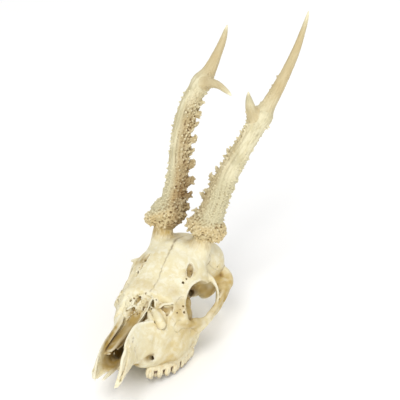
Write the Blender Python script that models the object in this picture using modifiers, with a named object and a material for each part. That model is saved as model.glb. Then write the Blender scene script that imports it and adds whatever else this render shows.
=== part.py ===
"""Roe deer skull with antlers, life size, lying on its cheek teeth as on a table.

The skull is shaped in its own frame, in millimetres: x to the animal's left, y towards the nape and
z up from the level of the premolar tips, with y = 0 through the middle of the orbits. Rounded masses
are fused with a voxel remesh, hollows are carved out of them, thin bars and plates are added, and the
result is parted into its bones by thin cuts. The antlers are swept beams with a knobbly coronet.
"""

import math

import bmesh
import bpy
from mathutils import Matrix, Vector

MM = 0.001
GAP = 0.3  # between neighbouring solids
SOCKET_SWELL = 0.39  # a little over the gap, because the swollen rows are faceted

# At rest the skull leans back on its last molars and on its two jugular processes.
MOLAR_REST = Vector((0.0, 3.0, -1.0))
JUGULAR_REST = Vector((0.0, 73.5, 9.5))
REST_TILT = math.atan2(JUGULAR_REST.z - MOLAR_REST.z, JUGULAR_REST.y - MOLAR_REST.y)
# The middle of the part's box, in the leaned skull's frame
BOX_MIDDLE_X = 15.3
BOX_MIDDLE_Y = 23.24

# Fineness of the solids
SKULL_VOXEL = 1.0
SKULL_TRIANGLES = 4450
ANTLER_VOXEL = 0.9
ANTLER_TRIANGLES = 1100
TEETH_VOXEL = 0.6
TEETH_TRIANGLES = 420
MASS_SMOOTHING = 8
DETAIL_SMOOTHING = 3
FINE_SMOOTHING = 2
SMOOTH_FACTOR = 0.5
RING_POINTS = 40
BALL_SEGMENTS = 20
BALL_RINGS = 12
LOFT_STEP = 3.0
BAR_STEP = 2.0
FAR = 500.0  # edge of a cutting block, larger than the whole part

# Driving dimensions of the skull
MUZZLE_Y = -109.0
NAPE_Y = 85.0
BRAINCASE_HALF = 30.0
CHEEK_HALF = 43.5
ORBIT_CENTRE = Vector((37.0, 2.0, 53.5))
ORBIT_RADII = Vector((23.0, 22.0, 17.5))
PEDICLE_X = 19.2
PEDICLE_Y = 43.5

# Lofted masses: (y, lowest z, widest z, highest z, half width, lower power, upper power)
BRAINCASE_SECTIONS = [
    (26.0, 40.0, 62.0, 90.0, 18.0, 2.2, 2.2),
    (34.0, 36.0, 61.0, 89.0, 22.0, 2.3, 2.2),
    (44.0, 33.5, 60.0, 90.0, 27.0, 2.3, 2.3),
    (54.0, 32.0, 60.0, 89.5, BRAINCASE_HALF, 2.3, 2.4),
    (64.0, 31.0, 58.0, 86.5, BRAINCASE_HALF, 2.4, 2.4),
    (72.0, 31.5, 55.0, 79.0, 28.0, 2.4, 2.2),
    (79.0, 33.0, 51.0, 69.5, 22.5, 2.2, 2.0),
    (NAPE_Y, 36.0, 48.0, 60.0, 14.0, 2.0, 2.0),
]
FOREHEAD_SECTIONS = [
    (-27.0, 52.0, 57.0, 66.0, 23.5, 2.0, 2.2),
    (-18.0, 53.0, 59.0, 70.0, 25.5, 2.0, 2.2),
    (-8.0, 56.0, 62.0, 75.0, 27.0, 2.0, 2.1),
    (2.0, 58.0, 65.0, 81.5, 29.5, 2.0, 2.0),
    (12.0, 59.0, 66.0, 87.0, 32.0, 2.0, 1.9),
    (20.0, 58.0, 64.5, 90.5, 34.5, 2.0, 1.8),
    (26.0, 58.0, 64.0, 93.0, 33.0, 2.0, 1.8),
    (32.0, 58.0, 66.0, 93.0, 28.0, 2.0, 2.0),
    (39.0, 59.0, 70.0, 91.0, 25.0, 2.0, 2.3),
    (48.0, 59.0, 71.0, 88.5, 24.0, 2.0, 2.3),
]
CORE_SECTIONS = [
    (-34.0, 34.0, 46.0, 60.0, 22.0, 3.0, 3.0),
    (-20.0, 34.0, 48.0, 66.0, 18.0, 3.0, 3.0),
    (-6.0, 34.0, 52.0, 72.0, 13.5, 3.0, 3.0),
    (8.0, 33.0, 54.0, 80.0, 13.0, 3.0, 3.0),
    (20.0, 33.0, 56.0, 86.0, 16.0, 3.0, 3.0),
    (32.0, 33.0, 58.0, 88.0, 21.0, 2.5, 2.5),
]
SNOUT_SECTIONS = [
    (6.0, 14.0, 28.0, 38.0, 31.5, 3.0, 2.6),
    (-2.0, 9.0, 31.0, 43.0, 34.0, 3.2, 2.6),
    (-10.0, 6.5, 33.0, 50.0, 35.0, 3.4, 2.5),
    (-20.0, 5.5, 35.0, 58.0, 33.5, 3.5, 2.3),
    (-32.0, 5.0, 34.0, 59.0, 29.5, 3.6, 2.2),
    (-44.0, 6.5, 31.0, 57.0, 26.0, 3.4, 2.2),
    (-56.0, 10.0, 29.0, 56.0, 20.5, 3.0, 2.4),
    (-66.0, 18.0, 31.0, 55.0, 16.5, 2.6, 2.6),
    (-78.0, 21.5, 33.0, 53.5, 14.0, 2.6, 2.8),
    (-90.0, 20.5, 29.0, 50.0, 14.2, 2.6, 2.6),
    (-99.0, 18.0, 25.0, 40.0, 14.0, 2.6, 2.4),
    (-105.0, 16.0, 20.0, 28.0, 13.0, 2.6, 2.2),
    (MUZZLE_Y, 15.0, 17.0, 19.0, 11.0, 2.0, 2.0),
]
# The nasal hollow, open above because the nasal bones are gone
NASAL_SECTIONS = [
    (-30.0, 30.0, 44.0, 75.0, 11.0, 2.4, 3.0),
    (-38.0, 22.0, 40.0, 80.0, 15.0, 2.6, 2.0),
    (-50.0, 19.0, 36.0, 80.0, 15.0, 2.8, 2.2),
    (-62.0, 19.0, 36.0, 80.0, 12.5, 2.8, 3.0),
    (-76.0, 21.0, 36.0, 80.0, 10.8, 2.8, 4.0),
    (-86.0, 12.0, 34.0, 80.0, 9.8, 2.8, 4.0),
    (-98.0, 0.0, 30.0, 80.0, 9.0, 3.0, 4.0),
    (-120.0, 0.0, 30.0, 80.0, 5.0, 3.0, 4.0),
]

# Bars of the left side: (x, y, z, radius)
PEDICLE = [
    (17.0, 30.0, 79.0, 11.0),
    (18.4, 37.0, 88.0, 10.4),
    (PEDICLE_X, 41.5, 95.5, 9.0),
    (PEDICLE_X, PEDICLE_Y, 100.0, 8.4),
    (PEDICLE_X, PEDICLE_Y + 0.8, 107.0, 8.2),
]
CHEEK_ARCH_UPPER = [
    (24.0, 66.0, 55.0, 6.0),
    (34.0, 63.0, 56.0, 4.6),
    (41.0, 57.0, 54.0, 3.2),
    (43.2, 48.0, 51.0, 2.6),
    (CHEEK_HALF, 38.0, 48.0, 2.4),
    (43.6, 28.0, 45.0, 2.5),
    (42.0, 16.0, 40.5, 2.3),
    (39.5, 5.0, 37.0, 2.4),
    (35.0, -6.0, 38.0, 4.0),
]
CHEEK_ARCH_LOWER = [
    (25.0, 66.0, 50.0, 5.0),
    (34.0, 62.0, 50.0, 3.6),
    (40.5, 56.0, 48.5, 2.6),
    (42.8, 46.0, 45.5, 2.3),
    (CHEEK_HALF, 36.0, 42.5, 2.3),
    (43.0, 25.0, 38.5, 2.5),
    (41.2, 14.0, 35.0, 2.8),
    (38.0, 3.0, 31.5, 3.8),
    (33.0, -8.0, 29.0, 5.0),
]
POSTORBITAL_BAR = [
    (27.0, 27.0, 68.0, 4.0),
    (34.5, 26.0, 66.0, 3.2),
    (39.6, 26.0, 62.0, 2.5),
    (42.6, 26.5, 56.0, 1.9),
    (43.4, 25.5, 49.0, 1.8),
    (42.8, 20.0, 42.5, 2.0),
    (41.4, 13.0, 38.5, 2.3),
]
ORBIT_RIM = [
    (31.5, 21.0, 67.0, 2.4),
    (30.0, 10.0, 70.0, 2.4),
    (27.2, -3.0, 67.5, 2.2),
    (26.8, -13.0, 61.5, 2.4),
    (29.5, -20.5, 53.5, 2.6),
    (32.0, -19.0, 44.0, 3.0),
    (35.5, -9.0, 37.5, 3.0),
    (39.0, 4.0, 35.5, 2.4),
]
NAPE_CREST = [
    (0.0, 82.0, 64.5, 2.6),
    (9.0, 80.5, 64.0, 2.4),
    (19.0, 76.0, 61.5, 2.2),
    (27.0, 70.5, 59.0, 2.2),
    (33.5, 64.0, 57.5, 2.8),
]
NAPE_SIDE = [
    (20.0, 77.0, 60.0, 2.2),
    (25.5, 74.5, 51.0, 2.6),
    (26.0, 72.0, 41.0, 3.0),
]
CHEEK_TUBER = [
    (33.0, 2.0, 27.0, 4.5),
    (31.0, 4.0, 18.0, 4.5),
    (29.0, 4.0, 11.0, 4.0),
]
JUGULAR_PROCESS = [
    (22.0, 76.0, 42.0, 4.5),
    (23.0, 75.5, 31.0, 3.8),
    (23.2, 74.5, 20.0, 2.8),
    (23.0, JUGULAR_REST.y, JUGULAR_REST.z - 0.5, 2.2),
]
PTERYGOID = [
    (9.5, 8.0, 30.0, 3.0),
    (9.0, 18.0, 29.0, 2.4),
    (8.5, 27.0, 27.5, 2.0),
    (8.5, 32.0, 24.5, 1.5),
    (9.0, 34.0, 19.0, 1.0),
]
PTERYGOID_ROOT = [
    (8.0, 12.0, 36.0, 3.6),
    (8.0, 24.0, 34.0, 3.2),
    (8.0, 34.0, 33.0, 2.8),
]
SKULL_BASE = [
    (0.0, 6.0, 36.0, 7.0),
    (0.0, 24.0, 36.0, 6.5),
    (0.0, 42.0, 36.5, 7.0),
    (0.0, 60.0, 36.5, 7.0),
    (0.0, 78.0, 36.0, 6.0),
]
VOMER = [
    (0.5, -22.0, 40.0, 5.0),
    (0.5, -40.0, 34.0, 3.6),
    (0.5, -58.0, 29.0, 3.0),
    (0.5, -72.0, 27.0, 2.4),
    (0.5, -82.0, 26.0, 1.8),
]
PALATINE_PROCESS = [
    (11.5, -86.0, 24.0, 2.2),
    (7.5, -89.5, 22.5, 2.0),
    (4.2, -94.0, 20.5, 1.7),
    (3.2, -100.0, 18.5, 1.4),
    (3.0, -105.0, 17.0, 0.9),
]

# Balls: (centre, radii)
CONDYLE = (Vector((9.5, 83.0, 38.5)), Vector((6.5, 6.0, 9.5)))
BULLA = (Vector((16.5, 62.0, 35.0)), Vector((7.0, 10.0, 6.5)))
LACRIMAL_BULLA = (Vector((21.5, -3.0, 38.0)), Vector((8.0, 14.0, 11.0)))
JAW_SOCKET_SHELF = (Vector((34.0, 56.0, 49.0)), Vector((9.0, 8.5, 4.0)))
NASAL_SCROLLS = [
    (Vector((9.5, -33.5, 55.0)), Vector((4.0, 7.5, 4.2))),
    (Vector((4.5, -33.0, 53.0)), Vector((3.2, 6.0, 3.6))),
    (Vector((-5.0, -33.0, 54.0)), Vector((3.6, 6.5, 4.0))),
    (Vector((-10.5, -34.0, 54.5)), Vector((3.6, 7.0, 4.0))),
]
FORAMEN_MAGNUM = (Vector((0.0, 84.0, 45.0)), Vector((8.5, 22.0, 8.0)))
CHOANA = (Vector((5.2, 10.0, 24.0)), Vector((5.0, 22.0, 7.5)))

# The vault of the palate, between the tooth rows
PALATE_SECTIONS = [
    (-72.0, -10.0, 0.0, 19.0, 5.0, 2.0, 2.0),
    (-58.0, -10.0, 0.0, 15.0, 8.0, 2.0, 2.4),
    (-44.0, -10.0, 0.0, 12.5, 11.5, 2.0, 2.6),
    (-28.0, -10.0, 0.0, 12.5, 15.0, 2.0, 2.6),
    (-12.0, -10.0, 0.0, 13.0, 18.0, 2.0, 2.6),
    (4.0, -10.0, 0.0, 14.0, 19.0, 2.0, 2.6),
    (14.0, -10.0, 0.0, 16.0, 20.0, 2.0, 2.6),
]

# Cheek teeth of the left row: (x, y, z of the tip, length, width, number of lobes)
TEETH = [
    (15.0, -51.0, -0.6, 8.8, 6.4, 1),
    (19.0, -43.0, -2.4, 9.0, 8.2, 1),
    (22.0, -34.8, -3.2, 8.8, 9.8, 1),
    (24.8, -25.0, -3.6, 11.6, 10.6, 2),
    (26.6, -13.0, -2.9, 12.8, 11.0, 2),
    (27.2, -0.6, MOLAR_REST.z - 0.9, 12.4, 10.4, 2),
]
CROWN = 9.0  # from the gum line to the tips
# Each lobe's body and its outer cusp, as shares of the crown's height, the tooth's width and the lobe
BODY_RISE = 0.6
BODY_HALF_HEIGHT = 0.56
BODY_HALF_LENGTH = 0.56
CUSP_OUT = 0.22
CUSP_RISE = 0.4
CUSP_HALF_HEIGHT = 0.4
CUSP_HALF_WIDTH = 0.2
CUSP_HALF_LENGTH = 0.36
GUM_RADIUS = 0.4

# Antlers: (x, y, z, radius) along each beam and tine
LEFT_BEAM = [
    (20.3, 43.5, 103.0, 12.0),
    (22.8, 46.0, 115.0, 11.5),
    (26.5, 49.5, 131.0, 10.6),
    (32.5, 53.5, 151.0, 9.6),
    (40.2, 58.0, 171.0, 8.8),
    (48.2, 62.5, 190.0, 8.4),
    (56.0, 68.0, 207.5, 8.8),
]
LEFT_POINT = [
    (55.0, 68.0, 207.5, 8.0),
    (60.5, 75.5, 221.5, 6.4),
    (66.0, 85.5, 239.0, 5.4),
    (70.5, 96.5, 258.0, 4.2),
    (73.5, 104.0, 276.0, 3.0),
    (75.3, 108.0, 289.0, 1.6),
    (75.8, 109.0, 294.5, 0.6),
]
LEFT_TINE = [
    (54.0, 66.5, 205.0, 6.5),
    (51.5, 59.0, 216.5, 4.8),
    (50.5, 52.5, 227.0, 3.0),
    (50.8, 48.0, 236.5, 0.7),
]
RIGHT_BEAM = [
    (-17.8, 43.5, 105.0, 11.5),
    (-15.5, 47.0, 117.0, 10.8),
    (-14.0, 52.0, 136.0, 9.4),
    (-15.0, 58.0, 156.0, 9.0),
    (-17.0, 64.5, 175.0, 8.8),
    (-17.0, 71.0, 193.0, 8.6),
    (-13.5, 77.0, 209.0, 8.4),
    (-7.5, 81.5, 222.5, 8.2),
]
RIGHT_POINT = [
    (-8.0, 81.5, 222.5, 8.0),
    (-3.5, 86.5, 232.0, 6.4),
    (-0.5, 94.0, 244.0, 4.6),
    (1.2, 101.5, 255.0, 3.4),
    (2.0, 107.0, 264.5, 2.0),
    (2.2, 109.5, 270.0, 0.7),
]
RIGHT_TINE = [
    (-7.0, 80.5, 222.0, 6.0),
    (4.0, 74.5, 226.5, 4.6),
    (15.0, 68.0, 227.5, 3.2),
    (24.5, 62.5, 225.5, 2.0),
    (29.5, 59.5, 224.0, 0.8),
]
# Coronets: (centre at the seat on the pedicle, outward lean in degrees)
LEFT_CORONET = (Vector((20.3, 43.5, 102.5)), 10.0)
RIGHT_CORONET = (Vector((-18.3, 43.5, 104.0)), -22.0)
CORONET_RADIUS = 13.2
CORONET_KNOBS = 13
CORONET_KNOB = 4.4
CORONET_UNEVEN = 0.14
CORONET_WAVES = 2.6
CORONET_HEIGHT = 4.2
CORONET_DISC_HEIGHT = 3.0
CORONET_DISC_HALF = 5.0
PEARL_STAND = 0.2  # how far a pearl's middle stands off the beam, as a share of its radius
PEARL_FLATNESS = 0.8
# Large pearls: (place along the beam from 0 to 1, turn about it in degrees, radius)
LEFT_PEARLS = [
    (0.22, 150.0, 3.2),
    (0.36, 165.0, 3.4),
    (0.50, 160.0, 2.6),
    (0.30, 20.0, 2.4),
    (0.62, 170.0, 2.4),
]
RIGHT_PEARLS = [
    (0.12, 20.0, 3.6),
    (0.20, -15.0, 3.6),
    (0.29, 15.0, 3.8),
    (0.40, 5.0, 3.4),
    (0.50, 15.0, 3.8),
    (0.60, -10.0, 3.2),
    (0.70, 10.0, 3.2),
    (0.79, 0.0, 3.0),
]

# Thin cuts that part the solids: (a point of the plane, its normal)
REAR_CUT = ((0.0, 56.0, 95.0), (0.0, 1.0, -0.25))
MIDDLE_CUT = ((0.0, -27.0, 61.0), (0.0, 0.22, 1.0))
MUZZLE_CUT = ((0.0, -88.0, 0.0), (0.0, -1.0, 0.0))
CHEEK_CUT_X = 35.0
CHEEK_CUT_BACK = 50.0
CHEEK_ZONE_OUT = 90.0
CHEEK_ZONE_FRONT = -60.0
CHEEK_ZONE_LOW = -20.0
CHEEK_ZONE_HIGH = 120.0
LEFT_FORK_CUT = ((52.0, 65.8, 201.0), (0.344, 0.358, 0.867))
LEFT_TINE_CUT = ((55.0, 66.5, 210.0), (-0.314, -0.949, -0.028))
RIGHT_FORK_CUT = ((-12.5, 77.8, 211.5), (0.373, 0.354, 0.858))
RIGHT_TINE_CUT = ((1.5, 76.5, 225.0), (0.866, -0.498, 0.047))

BONE = ("bone", (0.80, 0.72, 0.52, 1.0), 0.55)
ANTLER = ("antler", (0.66, 0.58, 0.42, 1.0), 0.7)
TOOTH = ("tooth", (0.82, 0.76, 0.62, 1.0), 0.35)


def clear_scene():
    for item in list(bpy.data.objects):
        bpy.data.objects.remove(item, do_unlink=True)


def collection(name):
    made = bpy.data.collections.new(name)
    bpy.context.scene.collection.children.link(made)
    return made


def skull_frame():
    """From the skull's own frame, in millimetres, to the resting part's frame, in metres."""
    lean = Matrix.Rotation(-REST_TILT, 4, "X")
    floor = (lean @ MOLAR_REST).z
    place = Matrix.Translation((-BOX_MIDDLE_X, -BOX_MIDDLE_Y, -floor))
    return Matrix.Scale(MM, 4) @ place @ lean


def mirrored(points):
    return [(-point[0], *point[1:]) for point in points]


def blend(before, start, end, after, t):
    """One number of a Catmull-Rom curve, between start and end."""
    linear = (end - before) * t
    square = (2 * before - 5 * start + 4 * end - after) * t**2
    cube = (3 * start - before - 3 * end + after) * t**3
    return start + 0.5 * (linear + square + cube)


def spline(points, step):
    """Rows of numbers every step or so along a smooth curve through the given rows."""
    rows = [points[0], *points, points[-1]]
    result = []
    for before, start, end, after in zip(rows, rows[1:], rows[2:], rows[3:]):
        length = (Vector(end[:3]) - Vector(start[:3])).length
        count = max(1, round(length / step))
        for index in range(count):
            numbers = zip(before, start, end, after)
            result.append(tuple(blend(*four, index / count) for four in numbers))
    return [*result, tuple(points[-1])]


def helper(name, mesh):
    made = bpy.data.objects.new(name, mesh)
    forms.objects.link(made)
    made.hide_render = True
    made.display_type = "WIRE"
    return made


def helper_from(name, bm, frame=None):
    """A hidden form from a mesh in the skull's frame, or in the given one."""
    bmesh.ops.recalc_face_normals(bm, faces=bm.faces)
    bm.transform(skull_frame() if frame is None else frame)
    mesh = bpy.data.meshes.new(name)
    bm.to_mesh(mesh)
    bm.free()
    return helper(name, mesh)


def section_ring(y, low, wide, high, half, low_power, high_power):
    """One ring of a loft: two half superellipses that meet at the widest level."""
    ring = []
    for index in range(RING_POINTS):
        angle = 2 * math.pi * index / RING_POINTS
        across, up = math.cos(angle), math.sin(angle)
        power = high_power if up >= 0 else low_power
        reach = high - wide if up >= 0 else wide - low
        x = half * math.copysign(abs(across) ** (2 / power), across)
        z = wide + reach * math.copysign(abs(up) ** (2 / power), up)
        ring.append((x, y, z))
    return ring


def loft(name, sections):
    """A mass through cross-sections that differ in width, height and boxiness."""
    bm = bmesh.new()
    rows = spline([(0.0, row[0], 0.0, *row[1:]) for row in sections], LOFT_STEP)
    rings = []
    for _, y, _, *shape in rows:
        rings.append([bm.verts.new(point) for point in section_ring(y, *shape)])
    for lower, upper in zip(rings, rings[1:]):
        for index in range(RING_POINTS):
            after = (index + 1) % RING_POINTS
            bm.faces.new((lower[index], lower[after], upper[after], upper[index]))
    bm.faces.new(rings[0])
    bm.faces.new(rings[-1][::-1])
    return helper_from(name, bm)


def bar(name, points):
    """A round bar along a smooth line, with its own radius at each point."""
    curve = bpy.data.curves.new(name, "CURVE")
    curve.dimensions = "3D"
    curve.bevel_depth = 1.0
    curve.bevel_resolution = 3
    curve.use_fill_caps = True
    line = curve.splines.new("POLY")
    rows = spline(points, BAR_STEP)
    line.points.add(len(rows) - 1)
    for point, (x, y, z, radius) in zip(line.points, rows):
        point.co = (x, y, z, 1.0)
        point.radius = radius
    sweep = bpy.data.objects.new(name, curve)
    forms.objects.link(sweep)
    bm = bmesh.new()
    bm.from_mesh(evaluated_mesh(sweep))
    bmesh.ops.remove_doubles(bm, verts=bm.verts, dist=0.001)
    bpy.data.objects.remove(sweep)
    return helper_from(name, bm)


def ball(name, centre, radii):
    bm = bmesh.new()
    size = Matrix.Diagonal((*radii, 1.0))
    place = Matrix.Translation(centre)
    bmesh.ops.create_uvsphere(
        bm, u_segments=BALL_SEGMENTS, v_segments=BALL_RINGS, radius=1.0, matrix=place @ size
    )
    return helper_from(name, bm)


def both_sides(make, name, *shape):
    """The left form and its mirror image."""
    if make is ball:
        centre, radii = shape
        right = (Vector((-centre.x, centre.y, centre.z)), radii)
    else:
        right = (mirrored(shape[0]),)
    return [make(f"{name}_left", *shape), make(f"{name}_right", *right)]


def evaluated_mesh(item):
    graph = bpy.context.evaluated_depsgraph_get()
    return bpy.data.meshes.new_from_object(item.evaluated_get(graph))


def fuse(name, pieces, voxel, smoothing):
    """One solid from overlapping forms, with the creases between them softened."""
    bm = bmesh.new()
    for piece in pieces:
        bm.from_mesh(piece.data)
    whole = helper_from(name, bm, Matrix())
    remesh = whole.modifiers.new("Fuse", "REMESH")
    remesh.mode = "VOXEL"
    remesh.voxel_size = voxel * MM
    smooth = whole.modifiers.new("Soften", "SMOOTH")
    smooth.iterations = smoothing
    smooth.factor = SMOOTH_FACTOR
    return helper(f"{name}_fused", evaluated_mesh(whole))


def boolean(item, operation, cutter):
    cut = item.modifiers.new(cutter.name, "BOOLEAN")
    cut.operation = operation
    cut.solver = "EXACT"
    cut.object = cutter


def carve(name, solid, cutters):
    for cutter in cutters:
        boolean(solid, "DIFFERENCE", cutter)
    return helper(name, evaluated_mesh(solid))


def thin_out(solid, triangles):
    """The solid with about this many triangles, fewest where it is smooth."""
    fewer = solid.modifiers.new("Fewer", "DECIMATE")
    count = sum(len(face.vertices) - 2 for face in solid.data.polygons)
    fewer.ratio = triangles / count
    fewer.use_collapse_triangulate = True
    return helper(f"{solid.name}_light", evaluated_mesh(solid))


def half_space(name, point, normal, shift):
    """A large block on the side of a plane that its normal points to, moved on by the shift."""
    bm = bmesh.new()
    turn = Vector(normal).to_track_quat("Z", "Y").to_matrix().to_4x4()
    lift = Matrix.Translation((0.0, 0.0, FAR / 2 + shift))
    bmesh.ops.create_cube(bm, size=FAR, matrix=Matrix.Translation(point) @ turn @ lift)
    return helper_from(name, bm)


def sides_of(name, point, normal):
    """The block behind a plane and the one before it, each reaching half a gap past the plane."""
    back = half_space(f"{name}_back", point, [-value for value in normal], -GAP / 2)
    front = half_space(f"{name}_front", point, normal, -GAP / 2)
    return back, front


def block(name, low, high):
    bm = bmesh.new()
    low, high = Vector(low), Vector(high)
    size = Matrix.Diagonal((*(high - low), 1.0))
    bmesh.ops.create_cube(bm, size=1.0, matrix=Matrix.Translation((low + high) / 2) @ size)
    return helper_from(name, bm)


def floor_block():
    """All that lies under the surface that the skull rests on."""
    bm = bmesh.new()
    bmesh.ops.create_cube(bm, size=1.0, matrix=Matrix.Translation((0.0, 0.0, -0.5)))
    return helper_from("floor", bm, Matrix())


def material(name, colour, roughness):
    made = bpy.data.materials.new(name)
    made.use_nodes = True
    shader = made.node_tree.nodes["Principled BSDF"]
    shader.inputs["Base Color"].default_value = colour
    shader.inputs["Roughness"].default_value = roughness
    shader.inputs["Metallic"].default_value = 0.0
    made.diffuse_color = colour
    return made


def sub_part(name, solid, finish, cuts):
    """A named sub-part: the solid less every cutter."""
    item = bpy.data.objects.new(name, solid.data.copy())
    skull.objects.link(item)
    label, colour, roughness = finish
    item.data.materials.clear()
    item.data.materials.append(material(f"{name}_{label}", colour, roughness))
    for cutter in cuts:
        boolean(item, "DIFFERENCE", cutter)
    return item


def skull_solid():
    masses = [
        loft("braincase_mass", BRAINCASE_SECTIONS),
        loft("forehead_mass", FOREHEAD_SECTIONS),
        loft("core_mass", CORE_SECTIONS),
        loft("snout_mass", SNOUT_SECTIONS),
        bar("skull_base", SKULL_BASE),
        *both_sides(bar, "pedicle", PEDICLE),
    ]
    whole = fuse("masses", masses, SKULL_VOXEL, MASS_SMOOTHING)
    hollows = [
        loft("nasal_hollow", NASAL_SECTIONS),
        loft("palate_vault", PALATE_SECTIONS),
        ball("foramen_magnum", *FORAMEN_MAGNUM),
        *both_sides(ball, "orbit", ORBIT_CENTRE, ORBIT_RADII),
        *both_sides(ball, "choana", *CHOANA),
    ]
    hollowed = carve("hollowed", whole, hollows)
    details = [
        *both_sides(bar, "cheek_arch_upper", CHEEK_ARCH_UPPER),
        *both_sides(bar, "cheek_arch_lower", CHEEK_ARCH_LOWER),
        *both_sides(bar, "cheek_tuber", CHEEK_TUBER),
        *both_sides(bar, "postorbital_bar", POSTORBITAL_BAR),
        *both_sides(bar, "orbit_rim", ORBIT_RIM),
        *both_sides(bar, "nape_crest", NAPE_CREST),
        *both_sides(bar, "nape_side", NAPE_SIDE),
        *both_sides(bar, "jugular_process", JUGULAR_PROCESS),
        *both_sides(bar, "pterygoid", PTERYGOID),
        *both_sides(bar, "pterygoid_root", PTERYGOID_ROOT),
        *both_sides(bar, "palatine_process", PALATINE_PROCESS),
        *both_sides(ball, "condyle", *CONDYLE),
        *both_sides(ball, "bulla", *BULLA),
        *both_sides(ball, "lacrimal_bulla", *LACRIMAL_BULLA),
        *both_sides(ball, "jaw_socket_shelf", *JAW_SOCKET_SHELF),
        *[ball(f"nasal_scroll_{n}", *scroll) for n, scroll in enumerate(NASAL_SCROLLS)],
        bar("vomer", VOMER),
    ]
    skull_mesh = fuse("skull", [hollowed, *details], SKULL_VOXEL, DETAIL_SMOOTHING)
    return thin_out(skull_mesh, SKULL_TRIANGLES)


def tooth_row(side, sign):
    """Six cheek teeth in a row, each with one or two lobes that rise to a cusp on the outer side."""
    masses = []
    for number, (x, y, tip, length, width, lobes) in enumerate(TEETH):
        lobe = length / lobes
        for part in range(lobes):
            middle = y + (part - (lobes - 1) / 2) * lobe
            name = f"tooth_{side}_{number}_{part}"
            body = Vector((sign * x, middle, tip + BODY_RISE * CROWN))
            body_size = (width / 2, BODY_HALF_LENGTH * lobe, BODY_HALF_HEIGHT * CROWN)
            cusp = Vector((sign * (x + CUSP_OUT * width), middle, tip + CUSP_RISE * CROWN))
            cusp_size = (CUSP_HALF_WIDTH * width, CUSP_HALF_LENGTH * lobe, CUSP_HALF_HEIGHT * CROWN)
            masses += [ball(name, body, body_size), ball(f"{name}_cusp", cusp, cusp_size)]
    gum = [(sign * x, y, tip + CROWN, GUM_RADIUS * width) for x, y, tip, _, width, _ in TEETH]
    masses.append(bar(f"gum_{side}", gum))
    row = fuse(f"tooth_row_{side}", masses, TEETH_VOXEL, FINE_SMOOTHING)
    return thin_out(row, TEETH_TRIANGLES)


def socket_for(row):
    """The row made fatter by the gap, to cut its seat in the jaw."""
    fatter = row.copy()
    fatter.data = row.data.copy()
    forms.objects.link(fatter)
    swell = fatter.modifiers.new("Swell", "DISPLACE")
    swell.strength = SOCKET_SWELL * MM
    swell.mid_level = 0.0
    return helper(f"{row.name}_socket", evaluated_mesh(fatter))


def along(beam, place):
    """A point of the beam's middle line, its direction there and its radius."""
    rows = spline(beam, 1.0)
    index = min(int(place * (len(rows) - 1)), len(rows) - 2)
    here, there = Vector(rows[index][:3]), Vector(rows[index + 1][:3])
    return here, (there - here).normalized(), rows[index][3]


def pearls(name, beam, rows):
    """Large pearls that stand out from the beam, turned about it from the animal's left."""
    made = []
    for number, (place, turn, radius) in enumerate(rows):
        middle, direction, beam_radius = along(beam, place)
        side = Vector((1.0, 0.0, 0.0))
        side = (side - direction * side.dot(direction)).normalized()
        side.rotate(Matrix.Rotation(math.radians(turn), 3, direction))
        centre = middle + side * (beam_radius + PEARL_STAND * radius)
        size = (radius, radius, PEARL_FLATNESS * radius)
        made.append(ball(f"{name}_pearl_{number}", centre, size))
    return made


def coronet(name, centre, lean):
    """A ring of knobs round the foot of an antler, lower on its outer side."""
    tilt = Matrix.Rotation(math.radians(lean), 3, "Y")
    made = []
    for number in range(CORONET_KNOBS):
        angle = 2 * math.pi * number / CORONET_KNOBS
        size = CORONET_KNOB * (1.0 + CORONET_UNEVEN * math.sin(CORONET_WAVES * number))
        ring = Vector((math.cos(angle), math.sin(angle), 0.0)) * CORONET_RADIUS
        place = centre + tilt @ (ring + Vector((0.0, 0.0, CORONET_HEIGHT)))
        made.append(ball(f"{name}_knob_{number}", place, Vector((size, size, size))))
    disc = (CORONET_RADIUS, CORONET_RADIUS, CORONET_DISC_HALF)
    middle = centre + tilt @ Vector((0.0, 0.0, CORONET_DISC_HEIGHT))
    made.append(ball(f"{name}_disc", middle, disc))
    return made


def antler(side, beam, point, tine, seat, pearl_rows, fork_cut, tine_cut):
    """One antler, seated on its pedicle and parted at its fork into beam, point and tine."""
    name = f"antler_{side}"
    centre, lean = seat
    masses = [bar(f"{name}_{n}", line) for n, line in enumerate((beam, point, tine))]
    masses += coronet(name, centre, lean)
    masses += pearls(name, beam, pearl_rows)
    solid = thin_out(fuse(name, masses, ANTLER_VOXEL, FINE_SMOOTHING), ANTLER_TRIANGLES)
    up = Matrix.Rotation(math.radians(lean), 3, "Y") @ Vector((0.0, 0.0, 1.0))
    under, over = sides_of(f"{name}_seat", centre, up)
    below, above = sides_of(f"{name}_fork", *fork_cut)
    inner, outer = sides_of(f"{name}_tine", *tine_cut)
    sub_part(f"{name}_beam", solid, ANTLER, [under, above])
    sub_part(f"{name}_point", solid, ANTLER, [below, outer])
    sub_part(f"{name}_tine", solid, ANTLER, [below, inner])
    return over


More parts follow.
